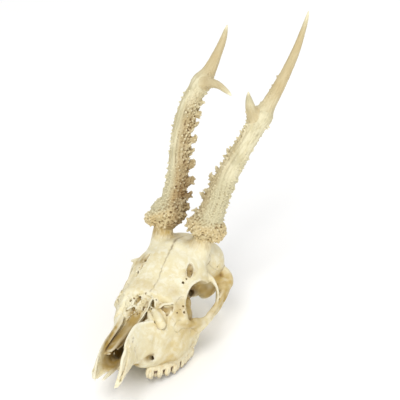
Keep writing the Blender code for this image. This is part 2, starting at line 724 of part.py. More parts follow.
def main():
    over = [
        antler(
            "left", LEFT_BEAM, LEFT_POINT, LEFT_TINE, LEFT_CORONET, LEFT_PEARLS,
            LEFT_FORK_CUT, LEFT_TINE_CUT,
        ),
        antler(
            "right", RIGHT_BEAM, RIGHT_POINT, RIGHT_TINE, RIGHT_CORONET, RIGHT_PEARLS,
            RIGHT_FORK_CUT, RIGHT_TINE_CUT,
        ),
    ]
    floor = floor_block()
    sockets = []
    for side, sign in (("left", 1), ("right", -1)):
        row = tooth_row(side, sign)
        sockets.append(socket_for(row))
        sub_part(f"teeth_{side}", row, TOOTH, [floor])

    solid = skull_solid()
    ahead, behind = sides_of("rear", *REAR_CUT)
    below, above = sides_of("middle", *MIDDLE_CUT)
    back, front = sides_of("muzzle", *MUZZLE_CUT)
    right_half, left_half = sides_of("median", (0.0, 0.0, 0.0), (1.0, 0.0, 0.0))
    cheeks = []
    for side, sign in (("left", 1), ("right", -1)):
        name = f"cheek_{side}"
        inner = sides_of(name, (sign * CHEEK_CUT_X, 0.0, 0.0), (sign, 0.0, 0.0))[0]
        rear = sides_of(f"{name}_rear", (0.0, CHEEK_CUT_BACK, 0.0), (0.0, 1.0, 0.0))[1]
        corner = (sign * (CHEEK_CUT_X - GAP / 2), CHEEK_CUT_BACK + GAP / 2)
        far = sign * CHEEK_ZONE_OUT
        low = (min(corner[0], far), CHEEK_ZONE_FRONT, CHEEK_ZONE_LOW)
        high = (max(corner[0], far), corner[1], CHEEK_ZONE_HIGH)
        cheeks.append(block(f"{name}_zone", low, high))
        sub_part(f"cheekbone_{side}", solid, BONE, [inner, rear])
    sub_part("braincase", solid, BONE, [ahead, *cheeks, floor])
    sub_part("forehead", solid, BONE, [behind, below, *cheeks, *over])
    sub_part("upper_jaw", solid, BONE, [behind, above, front, *cheeks, *sockets])
    sub_part("muzzle_left", solid, BONE, [back, right_half])
    sub_part("muzzle_right", solid, BONE, [back, left_half])


clear_scene()
forms = collection("Forms and cutters")
skull = collection("Roe deer skull")
main()
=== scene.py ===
"""Roe deer skull with antlers: bones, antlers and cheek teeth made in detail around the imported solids.

Every shape is set out in the skull's own frame, in millimetres: x to the animal's left, y towards the nape
and z up from the premolar tips. Bones are fields of distances that are blended and carved, and then turned
into surfaces.
"""

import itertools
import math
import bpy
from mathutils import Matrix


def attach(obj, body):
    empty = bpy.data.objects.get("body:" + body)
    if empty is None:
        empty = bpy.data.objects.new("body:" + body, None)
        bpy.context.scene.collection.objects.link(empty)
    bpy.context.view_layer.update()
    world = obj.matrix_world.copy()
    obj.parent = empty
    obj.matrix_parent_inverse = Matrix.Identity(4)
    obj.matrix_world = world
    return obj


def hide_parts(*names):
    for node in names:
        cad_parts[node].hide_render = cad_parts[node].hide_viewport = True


bl_info = {
    "name": "Roe deer skull",
    "version": (1, 0, 0),
    "blender": (4, 5, 0),
    "location": "View3D > Sidebar > Skull",
    "description": "Builds a roe deer skull with antlers and its stage",
    "category": "Object",
}

import bpy
import numpy as np
import openvdb
from bpy.props import FloatProperty, FloatVectorProperty, IntProperty, PointerProperty
from mathutils import Matrix, Vector

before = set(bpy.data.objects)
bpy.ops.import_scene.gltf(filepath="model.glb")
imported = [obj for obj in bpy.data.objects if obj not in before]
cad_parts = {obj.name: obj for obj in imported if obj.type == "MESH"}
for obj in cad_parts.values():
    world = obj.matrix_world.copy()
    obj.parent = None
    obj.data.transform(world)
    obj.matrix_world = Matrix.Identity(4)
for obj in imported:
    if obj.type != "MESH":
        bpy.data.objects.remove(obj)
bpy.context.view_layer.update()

MM = 0.001
FAR = 30.0  # a distance that counts as outside, in millimetres
TRIANGLE_LIMIT = 196_000
SIDES = (("left", 1), ("right", -1))

# The rest pose: the skull leans back on its last molars and its jugular processes.
MOLAR_REST = Vector((0.0, 3.0, -1.0))
JUGULAR_REST = Vector((0.0, 73.5, 9.5))
REST_TILT = math.atan2(JUGULAR_REST.z - MOLAR_REST.z, JUGULAR_REST.y - MOLAR_REST.y)
BOX_MIDDLE = (15.3, 23.24)  # x and y of the resting skull's middle, where the part's frame has its origin

SKULL_BOX = ((-49.0, -114.0, 1.0), (49.0, 94.0, 107.0))

# Lofted masses: (y, lowest z, widest z, highest z, half width, lower power, upper power)
BRAINCASE = [
    (26, 40, 62, 90, 18, 2.2, 2.2), (34, 36, 61, 89, 22, 2.3, 2.2), (44, 33.5, 60, 90, 27, 2.3, 2.3),
    (54, 32, 60, 89.5, 30, 2.3, 2.4), (64, 31, 58, 86.5, 30, 2.4, 2.4), (72, 31.5, 55, 79, 28, 2.4, 2.2),
    (79, 33, 51, 69.5, 22.5, 2.2, 2), (85, 36, 48, 60, 14, 2, 2),
]
FOREHEAD = [
    (-27, 57, 60, 66, 23.5, 2, 2.2), (-18, 53, 59, 70, 25.5, 2, 2.2), (-8, 56, 62, 75, 27, 2, 2.1),
    (2, 58, 65, 81.5, 29.5, 2, 2), (12, 59, 66, 87, 32, 2, 1.9), (20, 58, 64.5, 90.5, 34.5, 2, 1.8),
    (26, 58, 64, 93, 33, 2, 1.8), (32, 58, 66, 93, 28, 2, 2), (39, 59, 70, 91, 25, 2, 2.3),
    (48, 59, 71, 88.5, 24, 2, 2.3),
]
CORE = [
    (-34, 34, 46, 54, 20, 3, 3), (-20, 34, 48, 66, 18, 3, 3), (-6, 34, 52, 72, 13.5, 3, 3),
    (8, 33, 54, 80, 13, 3, 3), (20, 33, 56, 86, 16, 3, 3), (32, 33, 58, 88, 21, 2.5, 2.5),
]
SNOUT = [
    (6, 14, 28, 38, 31.5, 3, 2.6), (-2, 9, 31, 43, 34, 3.2, 2.6), (-10, 6.5, 33, 50, 35, 3.4, 2.5),
    (-20, 5.5, 35, 58, 33.5, 3.5, 2.3), (-32, 5, 34, 59, 29.5, 3.6, 2.2), (-44, 6.5, 31, 57, 26, 3.4, 2.2),
    (-56, 10, 29, 56, 20.5, 3, 2.4), (-66, 18, 31, 55, 16.5, 2.6, 2.6), (-78, 21.5, 33, 53.5, 14, 2.6, 2.8),
    (-90, 20.5, 29, 50, 14.2, 2.6, 2.6), (-99, 18, 25, 40, 14, 2.6, 2.4), (-105, 16, 20, 28, 13, 2.6, 2.2),
    (-109, 15, 17, 19, 11, 2, 2),
]
NASAL_HOLLOW = [
    (-28, 36, 46, 66, 13, 2.4, 2.4), (-33, 30, 44, 72, 14.5, 2.6, 2.4), (-38, 22, 40, 80, 16, 2.6, 2.4),
    (-50, 19, 36, 80, 16.5, 2.8, 2.6), (-62, 18, 36, 80, 13.6, 2.8, 3.4), (-76, 20, 36, 80, 11.6, 2.8, 4.4),
    (-86, 12, 34, 80, 10.8, 2.8, 4.4), (-98, 0, 30, 80, 10.8, 3, 4.4), (-106, 0, 24, 80, 9.2, 3, 4.4),
    (-120, 0, 24, 80, 5, 3, 4),
]
PALATE = [
    (-72, -10, 0, 19, 5, 2, 2), (-58, -10, 0, 15, 8, 2, 2.4), (-44, -10, 0, 12.5, 11.5, 2, 2.6),
    (-28, -10, 0, 12.5, 15, 2, 2.6), (-12, -10, 0, 13, 18, 2, 2.6), (4, -10, 0, 14, 19, 2, 2.6),
    (14, -10, 0, 16, 20, 2, 2.6),
]

# The floor of the braincase, as a bar with rows of (x, y, z, radius)
SKULL_BASE = [(0, 6, 36, 7), (0, 24, 36, 6.5), (0, 42, 36.5, 7), (0, 60, 36.5, 7), (0, 78, 36, 6)]
# Bars of the left side, which are mirrored: blend in millimetres and rows of (x, y, z, radius)
PAIRED_BARS = {
    "pedicle": (5, [
        (17, 32, 80, 10), (18.4, 38, 88, 9.6), (19.2, 41.5, 95.5, 8.7), (19.2, 43.5, 100, 8.2),
        (19.2, 44.3, 105, 8.2),
    ]),
    "cheek_arch_upper": (2, [
        (24, 66, 55, 6), (34, 63, 56, 4.6), (41, 57, 54, 3), (43.2, 48, 51, 2.2), (43.5, 38, 48, 2),
        (43.6, 28, 45, 2), (42, 16, 40.5, 2), (39.5, 5, 37, 2.2), (35, -6, 38, 4),
    ]),
    "cheek_arch_lower": (3, [
        (25, 66, 50, 5), (34, 62, 50, 3.4), (40.5, 56, 48.5, 2.2), (42.8, 46, 45.5, 1.9),
        (43.5, 36, 42.5, 1.9), (43, 25, 38.5, 2.1), (41.2, 14, 35, 2.6), (38, 3, 31.5, 3.8),
        (33, -8, 29, 5),
    ]),
    "cheek_arch_web": (2, [
        (42.8, 29, 49, 1.2), (42.6, 37, 50.4, 2.2), (41.2, 44.5, 51.6, 2.8), (37.5, 52, 52, 3.2),
    ]),
    "postorbital_bar": (2.5, [
        (27, 27, 68, 4), (34.5, 26, 66.4, 2.6), (39.2, 26, 62, 1.4), (41.8, 26.5, 56, 0.9),
        (42.8, 25.5, 49, 0.9), (42.6, 20, 42.5, 1.6), (41.4, 13, 38.5, 2.2),
    ]),
    "orbit_rim": (2, [
        (31.5, 21, 68.2, 1.5), (30, 10, 71.2, 1.3), (27.2, -3, 68.4, 1.3), (26.8, -13, 61.5, 2),
        (29.5, -20.5, 53.5, 2.4), (32, -19, 44, 2.8), (35.5, -9, 37.5, 2.8), (39, 4, 35.5, 2.2),
    ]),
    "nape_crest": (2.5, [
        (0, 82, 64.5, 2.2), (9, 80.5, 64, 2), (19, 76, 61.5, 1.8), (27, 70.5, 59, 1.9),
        (33.5, 64, 57.5, 2.6),
    ]),
    "nape_side": (2.5, [(20, 77, 60, 2), (25.5, 74.5, 51, 2.4), (26, 72, 41, 3)]),
    "cheek_tuber": (3, [(33, 2, 27, 4.5), (31, 4, 18, 4.5), (29, 4, 11, 4)]),
    "jugular_process": (2.5, [
        (23, 76, 42, 4.5), (24.8, 75.5, 31, 3.4), (24.8, 74.5, 20, 2.6), (24.2, 73.6, 12, 2.1),
    ]),
    "pterygoid": (1.5, [
        (9.5, 8, 30, 2.6), (9, 18, 29, 2), (8.5, 27, 27.5, 1.7), (8.5, 32, 24.5, 1.3), (9, 34, 19, 0.9),
    ]),
    "pterygoid_root": (2, [(8, 12, 36, 3.4), (8, 24, 34, 3), (8, 34, 33, 2.6)]),
}
# Balls of the left side, which are mirrored: blend, centre and radii
PAIRED_BALLS = {
    "parietal": (8, (19, 60, 66), (11, 15, 14)),
    "tooth_root_bulge": (6, (27.5, -22, 17), (6, 18, 7)),
    "orbit_side": (2, (18.5, 6, 44.5), (6, 11, 8)),
    "temporal_wall": (4, (24, 46.5, 46.5), (8, 13, 8)),
    "condyle": (2, (9.5, 83, 38.5), (6.5, 6, 9.5)),
    "bulla": (1.5, (16.5, 62, 35), (7, 10, 6.5)),
    "lacrimal_bulla": (2, (21.5, -3, 38), (8, 14, 11)),
    "jaw_socket_shelf": (2.5, (34.5, 54.5, 50.5), (10, 9.5, 4.6)),
    "shelf_front": (2, (39, 46, 51), (5, 8, 3.4)),
}
# The rod below the muzzle, of which only the right one is whole
ROD = [(-3.4, -66, 22.6, 1.7), (-2.2, -81.2, 21.1, 1.9), (-2, -94.2, 21.1, 1.9), (-2, -106, 20.9, 1.2)]
# The corner behind the right orbit, which stands out further than the left one
RIGHT_CORNER = [(-33.0, 26.5, 68.0, 2.4), (-38.0, 26.2, 66.8, 1.7), (-41.4, 26.0, 65.6, 1.0)]
# Round hollows: centre and radii. The orbits and the choanae are mirrored.
ORBIT = ((37.6, 2.0, 54.0), (23.0, 22.4, 17.9))
CHOANA = ((5.2, 10.0, 24.0), (5.0, 22.0, 7.5))
FORAMEN_MAGNUM = ((0.0, 84.0, 45.0), (8.5, 22.0, 8.0))
BROKEN_TIP = ((-12.0, -111.5, 15.0), (7.0, 6.4, 7.0))

# Hollows of the left side, which are mirrored: blend and rows of (x, y, z, radius)
PAIRED_CUTS = {
    "vacuity": (0.8, [
        (9, -33, 60.5, 4.6), (14.5, -34.5, 57.5, 4.2), (18.5, -37, 53.5, 4.4), (21.5, -41.5, 49, 4),
        (23.2, -43.8, 46.2, 2.2),
    ]),
    "notch": (1.2, [(11.5, -50, 57, 3.4), (16.5, -46.8, 54.5, 3.8), (20.5, -45.5, 49.5, 2.6)]),
    "optic_canal": (1, [(20.5, 23, 48.5, 3), (14, 30, 47, 2.4)]),
    "orbital_fissure": (1, [(17.5, 29, 41.5, 3), (13, 38, 40, 2.6)]),
    "inner_orbit": (4, [(19, 14, 60, 3.4), (17.5, 22, 54, 4)]),
    "sphenopalatine_hollow": (3, [(16, -10, 28, 4), (14, 4, 30, 4)]),
    "ear_canal": (0.8, [(31, 64, 42.5, 2.4), (22, 63, 43, 2)]),
    "bulla_notch": (0.8, [(12, 53, 29.5, 1.4), (14, 56, 35, 1.2)]),
    "hypoglossal_canal": (0.5, [(14, 76.5, 33.5, 1.2), (9, 73, 38, 1)]),
    "facial_hollow": (7, [(30.5, -38, 31, 4), (24.5, -54, 38, 4)]),
    "temple_hollow": (8, [(33, 42, 58, 4), (31, 40, 68, 3.5)]),
    "bar_underside": (3, [
        (20, -59.5, 8.4, 3.6), (18.4, -66, 12.8, 4), (17.2, -74, 17.2, 3.4), (14, -86, 19.4, 4),
        (12.8, -96, 18.8, 3.8), (12.6, -103, 14, 2.8),
    ]),
}
# Foramina and pits of the left side, which are mirrored. Their rows lie near the surface and are sunk from
# it: blend, how deep the first and last row lie, rows of (x, y, z, radius)
PAIRED_PITS = {
    "small_foramen": (0.3, 0, 4, [(21.6, -4.6, 72.1, 1.25), (21.4, -3.4, 71.6, 1)]),
    "least_foramen": (0.3, 0.2, 3, [(22.8, -0.1, 74.1, 0.8), (22.6, 0.2, 74, 0.6)]),
    "lacrimal_foramen": (0.3, 0.5, 2, [(29, -19.5, 57.7, 0.95), (29.3, -19, 57.2, 0.8)]),
    "lower_lacrimal_foramen": (0.3, 0.6, 2.4, [(31.2, -21.5, 53.4, 1.2), (31.6, -21, 52.7, 1)]),
    "lacrimal_pit": (0.3, 0.1, 1.4, [(26.9, -26, 54, 0.6), (26.9, -25.6, 53.5, 0.6)]),
    "upper_lacrimal_pit": (0.3, -0.1, 0.8, [(28.6, -24, 56.7, 0.5), (28.6, -23.6, 56.2, 0.5)]),
    "infraorbital_upper_edge": (0.4, 0.4, 0.6, [
        (16, -64.6, 25, 0.8), (18.5, -60.8, 26.6, 1.3), (20.2, -57, 25.6, 1.5),
    ]),
    "infraorbital_lower_edge": (0.5, 0.8, 0.6, [(19.4, -58.4, 24.4, 1.9), (18.3, -59.4, 21, 1)]),
    "infraorbital_canal": (0.5, 1, 7.5, [(19.2, -58.6, 24.6, 2.1), (19.4, -57.4, 24.8, 1.9)]),
    "infraorbital_groove": (3.5, -0.9, -0.7, [
        (17.4, -62.6, 23, 2.2), (15.6, -68.4, 21.6, 2.2), (14.2, -76, 21, 1.4),
    ]),
    "muzzle_groove": (0.5, 0.4, 0.8, [
        (12.5, -90, 42.8, 0.5), (12.5, -92.4, 39.4, 0.8), (12.5, -95.6, 34.1, 1), (12.5, -99, 29.4, 1.1),
        (12, -102.4, 24.6, 1.1), (11.4, -104.7, 18, 1),
    ]),
    "palate_foramen": (0.5, 0, 4, [(9, -26, 12.5, 1.3), (8.5, -24, 12.5, 1)]),
    "nape_pit": (0.8, 0.2, 2, [(12, 84, 52, 1.2), (12, 82, 52, 1)]),
    "temple_foramen": (0.5, 0.2, 2.5, [(30.5, 52, 66, 0.9), (30.2, 51, 66, 0.7)]),
    "rear_temple_foramen": (0.5, 0.2, 2.5, [(28, 68, 66, 0.8), (27.8, 67, 66, 0.6)]),
}
# The same for pits of one side only: the pocket and the slit before the left orbit, the foramen above it,
# and the broken groove above the right orbit
SINGLE_PITS = [
    (0.4, 1.2, 2, [(15.6, -31.4, 58.2, 1.6), (19.2, -31.4, 58.8, 2.2), (22, -31, 59.4, 1.5)]),
    (0.4, 1.2, 1.6, [(19.4, -32.4, 57.2, 2.3), (20.8, -33.4, 55.2, 1.3)]),
    (0.3, 1.2, 2, [(24.1, -28.5, 60, 1.1), (23.4, -30.5, 56.9, 1.3), (22.9, -32.6, 54.3, 0.9)]),
    (0.4, 1.1, 1.3, [(21, 12.6, 82, 2), (22.2, 8.8, 79.4, 3.1), (23.6, 4, 75.8, 2.2)]),
    (0.5, 3.4, 4.4, [(21.6, 10.4, 80, 1.2), (22.4, 7.6, 78, 1.3)]),
    (0.5, 0.5, 0.5, [(-19.5, 12.4, 82.6, 1.2), (-19.6, 8.4, 80.4, 1.9), (-19.7, 5.5, 79, 1.3)]),
    (0.4, 0.3, 0.3, [(-20.4, 1.6, 77, 0.9), (-20.6, -1.6, 75.2, 1.4), (-20.8, -3.6, 74.2, 0.8)]),
    (0.4, 0.2, 0.3, [(-21.6, -7, 72, 1.1), (-22, -9.6, 70.6, 0.7)]),
]

# Where each cheekbone reaches forward below the orbit: rows of (x, y, z, radius)
CHEEK_TONGUE = [(40.0, -8.0, 35.0, 6.0), (33.5, -20.0, 42.0, 5.6), (29.6, -28.5, 42.6, 4.4)]
# The raised bone before each orbit, as a plate: rows of (x, y, z, radius, half breadth)
LACRIMAL = [
    (23.9, -20.6, 61, 1.3, 4.6), (25.4, -22.6, 56.5, 1.4, 6.2), (27, -24.8, 50.8, 1.6, 7.6),
    (28, -27, 46, 1.8, 8),
]
# The spongy mass that fills the root of the nose, as a lofted mass
NOSE_MASS = [
    (-20, 30, 50, 64, 24, 2.4, 2.6), (-28, 30, 48, 61.6, 23, 2.4, 2.5), (-33, 29, 46, 58.4, 20.5, 2.4, 2.4),
    (-38, 29, 43, 55.2, 18, 2.4, 2.3), (-44, 28, 40, 51, 15, 2.4, 2.2), (-51, 28, 37, 45.5, 11.5, 2.4, 2.2),
    (-56, 28, 34, 40, 8, 2.4, 2.2),
]
# Thin bone left in the nose: blend, the way its breadth runs, and rows of (x, y, z, radius, half breadth)
NOSE_PLATES = {
    "septum": (0.6, (0.36, -0.84, 0.41), [
        (5.1, -30.4, 64, 0.6, 1.2), (4.1, -33, 61.2, 0.6, 1.4), (4.6, -36, 58.8, 0.55, 1.6),
        (4.2, -40.6, 55.8, 0.5, 1.8), (3.3, -47.2, 52.2, 0.5, 1.8), (1.8, -55.6, 47.7, 0.45, 1.4),
    ]),
    "lower_scroll_right": (1.2, (0.86, 0, 0.5), [
        (-6.2, -44, 43.5, 2.4, 3.2), (-6.2, -56, 42, 2.2, 3.8), (-6, -74, 40, 1.9, 3.9),
        (-6, -82, 38.6, 1.5, 3.6), (-6.6, -87, 37, 1, 2.4),
    ]),
    "lower_scroll_edge": (0.8, (0.3, 0, -1), [
        (-2.8, -46, 44, 0.8, 1.8), (-2.4, -70, 40.4, 0.8, 2.4), (-2.6, -81, 38.6, 0.7, 1.8),
    ]),
    "lower_scroll_left": (1, (-0.7, 0, 0.7), [
        (6.5, -44, 38, 1.2, 2.6), (6.4, -60, 35, 1.2, 3), (6, -76, 33, 1, 2.6),
    ]),
    "frontal_lip": (1.2, (0, -1, -0.55), [
        (-23, -25, 60.6, 0.9, 1.4), (-12, -25.5, 62.8, 0.9, 1), (0, -25.5, 65.2, 0.9, 1.4),
        (7.4, -28.5, 63.6, 0.8, 1.6), (9.2, -31, 60.4, 0.8, 1.6), (10.5, -33, 57.7, 0.7, 1.2),
        (13.2, -32.4, 58.6, 0.6, 0.7), (14.9, -29.8, 60.3, 0.6, 0.6), (18.6, -28.2, 61.3, 0.6, 0.6),
        (22, -27, 61.5, 0.7, 0.7),
    ]),
    "muzzle_floor_right": (2, (1, 0, 0.05), [
        (-8, -74, 22, 1, 4), (-8.4, -85, 21.5, 1, 4.2), (-10, -93, 20, 1, 3), (-11, -101, 18.4, 0.8, 1.4),
    ]),
    "muzzle_floor_middle": (1.5, (1, 0, 0), [
        (0, -58, 21.6, 1.2, 5), (0, -68, 21.6, 1.2, 4.6), (0, -74, 21.4, 1, 3),
    ]),
    "muzzle_scoop_right": (2.4, (0.5, 0, -0.9), [
        (-11.6, -80, 26, 1.2, 3), (-11.6, -92, 24.4, 1.2, 3.4), (-11.6, -102, 21, 1, 2.6),
    ]),
    "muzzle_floor_left": (2, (1, 0, -0.05), [
        (6.8, -72, 22.4, 1, 3.2), (6.4, -82, 22.4, 1, 2.8), (7.6, -90, 21.6, 0.9, 1.6),
        (9, -99, 20, 0.8, 0.8),
    ]),
    "maxilla_edge_left": (3.2, (0.3, 0, -0.95), [
        (15.3, -50.6, 50.3, 0.9, 3), (12.6, -57, 50.6, 0.9, 4), (10.6, -65, 51, 0.9, 5.2),
        (10.5, -73, 51.1, 0.9, 6), (10.6, -80, 49.4, 0.9, 5.6), (10.6, -86, 47.2, 0.9, 5),
        (10.9, -89.6, 45.2, 0.9, 4.2),
    ]),
    "muzzle_edge_left": (1.2, (0, 1, 0.5), [
        (11, -87.6, 46, 1, 2.2), (11.1, -90.8, 44.4, 1, 2.8), (11.2, -93.3, 42, 1.1, 3.3),
        (11.2, -96.7, 37.4, 1.2, 3.8), (11.2, -97.9, 32.3, 1.2, 3.6), (10.8, -100.1, 26.8, 1.2, 3.2),
        (10.2, -105.6, 18, 1, 1.2),
    ]),
    "trough_floor_right": (1.6, (1, 0, 0.2), [
        (-12.5, -44, 42, 1.4, 4.4), (-11.6, -58, 40, 1.4, 4), (-10.4, -74, 37, 1.4, 3.4),
        (-9.8, -86, 33.6, 1.2, 3),
    ]),
    "wall_ledge_right": (1.6, (0.9, 0, -0.3), [
        (-15.6, -46, 48.6, 0.7, 1.4), (-12.2, -58, 47, 0.7, 1.4), (-11.2, -74, 43.6, 0.7, 1.1),
        (-11, -86, 39.6, 0.5, 0.6),
    ]),
}
# Rounded scrolls of the nose: blend and rows of (x, y, z, radius)
NOSE_LOBES = [
    (0.5, [
        (10.8, -38.8, 56.8, 2.6), (14.1, -41, 55, 3.6), (18.6, -44.3, 52.1, 4.2), (21.2, -46.2, 50.3, 3.9),
    ]),
    (0.5, [(6.4, -40, 55.8, 1.3), (9, -43.5, 53.8, 2.3), (11.9, -46.5, 52.2, 2.6)]),
    (0.5, [(11.6, -46.5, 52.6, 1.6), (8.2, -49, 51.4, 1)]),
    (1, [(-0.6, -31.4, 62.4, 0.6), (-0.6, -35, 59.7, 0.7), (-1.4, -38, 57.7, 0.6)]),
]
# Cells of the nose, sunk from the surface: blend, first and last depth, rows of (x, y, z, radius)
NOSE_CELLS = [
    (0.3, 0.6, 1.4, [(-11.9, -30.5, 60.3, 0.9), (-10.4, -28.8, 62.3, 0.8)]),
    (0.3, 1.4, 2.6, [(-9.3, -33.6, 57.8, 1.9), (-8.6, -31, 60.4, 2.7), (-8, -29, 62.5, 1.8)]),
    (0.3, 1.5, 2.6, [(-15, -44.2, 49.2, 1.7), (-12.7, -40.5, 52.2, 2.9), (-9.9, -36.6, 55, 2)]),
    (0.8, -0.2, -0.2, [(-12.8, -43, 50.5, 1.8), (-10.7, -40, 52.6, 2.4), (-8.8, -38, 54.3, 1.6)]),
    (0.3, 1.2, 2.6, [(0, -36, 57.9, 1.4), (0.4, -38.8, 55.6, 1.3)]),
    (0.3, 0.3, 1.4, [(-3.3, -42, 52.1, 0.8), (-2.6, -41.6, 52.7, 0.7)]),
    (0.3, 0.2, 0.8, [(-5.9, -39.6, 53.1, 0.7), (-5.8, -39.4, 53.5, 0.6)]),
    (0.3, 0.2, 1.2, [(-9.6, -46.6, 47.3, 0.7), (-9.7, -47, 47, 0.6)]),
    (0.3, 0.5, 0.9, [(0.4, -31.8, 61.5, 1.1), (0.7, -35, 59, 1.1)]),
    (0.4, 1.4, 4.2, [(7, -30.6, 63.2, 2.7), (7.6, -33.4, 61.1, 3.3), (8.1, -35.8, 59.1, 2.5)]),
    (0.3, 0.4, 1.6, [(1.9, -28.8, 64.5, 0.9), (2.5, -29.2, 64.4, 0.7)]),
    (0.3, 0.3, 1.2, [(-6.1, -27.6, 64.4, 0.7), (-5.7, -28, 64.3, 0.6)]),
    (0.3, 0.3, 1.2, [(-9.2, -27.6, 63.3, 0.7), (-8.8, -28, 63.1, 0.6)]),
    (0.3, 0.3, 1, [(-20.1, -27, 59.7, 0.8), (-20.5, -27.6, 58.8, 0.7)]),
    (0.3, 0.3, 0.8, [(-14.3, -30.6, 57.6, 0.9), (-15.4, -31.6, 56.5, 0.8)]),
    (0.3, 0.3, 1, [(-17.3, -36, 53.4, 0.8), (-18.1, -38, 51.4, 0.8)]),
    (0.5, 1.4, 2.2, [(6, -40, 57, 1.3), (5.8, -45.4, 54.1, 1.9), (4.3, -52.6, 50.3, 1.9)]),
    (0.3, 0.3, 1.2, [(21.1, -28.8, 60.1, 0.9), (21.1, -29.2, 59.8, 0.7)]),
]
# Edges that have crumbled: spacing, smallest and largest chip, points along the edge
CRUMBLED = [
    (1.3, 0.5, 1.2, [
        (-28.4, -20.9, 57.2), (-20.7, -27, 59.7), (-12.3, -29.3, 60.8), (-8.9, -27.6, 62.8),
        (-1.9, -27.1, 64.3), (5.3, -27.1, 64.2), (7.1, -28.8, 62),
    ]),
    (1.7, 0.3, 0.7, [(7.1, -28.8, 62), (12.7, -35.1, 56.9), (15.3, -34.6, 56.4), (20.7, -27, 59.7)]),
    (1.2, 0.6, 1.5, [(-29, -16, 60), (-31, -19, 56), (-31.4, -22, 51), (-28, -27, 50)]),
    (2.2, 0.3, 0.7, [(10.6, -55.9, 55), (10.8, -66, 55.4), (10.8, -76, 55.4)]),
    (2.2, 0.3, 0.7, [(-12, -62, 56.4), (-11.6, -76, 55.4), (-11.4, -90, 50.6)]),
    (1.5, 0.3, 0.8, [(-11.6, -108, 20), (-9, -106.6, 17.6), (-6.6, -101, 19)]),
]
# Spongy bone: centre, radii, size of the cells, depth
SPONGY = [
    ((-6, -34, 56), (19, 9, 10), 1.25, 2), ((-8, -46, 50), (12, 9, 9), 1.4, 1.5),
    ((-27, -24, 56), (8, 8, 8), 1.5, 2), ((18, -31, 56), (5, 4, 6), 1.2, 1),
    ((-12, -98, 30), (5, 11, 14), 1.6, 0.8),
]
# The same for the grooves above the orbits, and for the broken edge before the right one
SPONGY_GROOVES = [
    ((21.2, 8.6, 74.8), (2.5, 5.4, 2.9), 1.3, 1.6), ((-20, 4, 78), (3.4, 10, 5), 1.5, 1.6),
    ((-22, -7, 71.6), (3, 5, 3), 1.4, 1.2), ((-30, -18, 56), (5, 6, 8), 1.5, 1.8),
]

# Sutures and cracks as engraved lines. The paired ones are mirrored: depth, half width and points
MEDIAN_SUTURE = [
    (-1.4, 46, 90, 0.5), (-2.2, 40, 92, 1.1), (-2.4, 33, 92.6, 1.3), (-1.4, 24, 91, 1),
    (-1, 14, 87.6, 0.75), (-0.6, 5, 82.8, 0.6), (0.2, -3, 78.2, 0.5), (0.9, -9.3, 74.2, 0.45),
    (1.4, -14.1, 71.8, 0.4), (0.8, -18.5, 69.6, 0.4), (1.3, -21, 68.6, 0.4), (-0.1, -25.5, 66.6, 0.45),
]
SAGITTAL_SUTURE = [(0.2, 44, 90.6), (0.6, 54, 90), (-0.4, 64, 87), (0.3, 72, 79.6), (0, 79, 70)]
PAIRED_SUTURES = {
    "coronal": (0.55, 0.42, [
        (26.4, 42, 84.5), (24.9, 45.6, 77), (24.9, 42.5, 72), (27.6, 33, 72), (31.4, 24.9, 72),
    ]),
    "jugal": (0.4, 0.34, [
        (32, -17.2, 43.7), (29.5, -23.5, 46.3), (27.4, -27.6, 47.6), (26.9, -30.4, 45.6),
        (27.5, -33.5, 42.9), (28.6, -33, 39.6), (29.9, -29.9, 37.7), (31, -26, 39.2), (32.2, -23.3, 39.1),
        (33.4, -18.6, 37.2), (34.6, -14.6, 36.4), (36, -8, 31), (36.6, -2, 27),
    ]),
    "frontolacrimal": (0.4, 0.34, [
        (26.8, -13.4, 63.6), (24, -16.8, 63.7), (23.4, -20.8, 61.8), (23.2, -25.7, 59.4),
    ]),
    "lacrimomaxillary": (0.35, 0.3, [(22.6, -33, 50.2), (25, -31, 49), (27.4, -28, 47.6)]),
    "premaxillary": (0.45, 0.36, [
        (12.6, -80, 52.6), (13.4, -82.4, 46), (13.8, -81, 40), (14.2, -77.5, 33), (14.6, -75, 26),
        (13, -76, 22),
    ]),
    "temporal": (0.4, 0.36, [
        (24.9, 42.6, 71.8), (28.4, 50, 64), (29.8, 57, 61), (29.6, 64, 60), (28, 69, 60),
    ]),
    "palate_cross": (0.3, 0.3, [(0, -10, 13.4), (8, -12, 12.8), (14, -8, 10.5)]),
    "orbit_wall": (0.5, 0.36, [(26.6, 17.4, 63), (25.6, 16.6, 60), (24.6, 18.4, 57), (22.6, 20, 53)]),
    "orbit_floor": (0.4, 0.34, [(21, -14, 49), (19, 0, 48.6), (20.4, 12, 50), (19.4, 24, 51)]),
}

# Where the bone is porous: centre, radii, the amount there, and the amount at the mirrored place
POROUS_AREAS = [
    ((22.4, 8.3, 77.5), (3.6, 8, 5), 0.9, 0.9), ((29, -19, 54), (7, 8, 8), 0.35, 0.35),
    ((25, -8, 68), (7, 8, 6), 0.25, 0.25), ((8, -8, 75), (20, 14, 9), 0.22, 0.22),
    ((10, -36, 56), (16, 12, 8), 0.5, 0.5), ((24, -40, 14), (12, 24, 7), 0.3, 0.3),
    ((19, 42, 99), (11, 11, 5), 0.25, 0.25), ((12, -100, 24), (8, 12, 12), 0.4, 0.4),
]
# Painted shade that makes deep holes nearly black, in the same way
SHADED_HOLES = [
    ((17.6, 26, 48), (5, 7, 7), 0.9, 0.9), ((18.4, -59.4, 23.6), (3.4, 4.6, 4), 0.55, 0.55),
    ((21.6, 9, 76.2), (2.8, 5.4, 2.8), 0.5, 0.5),
]
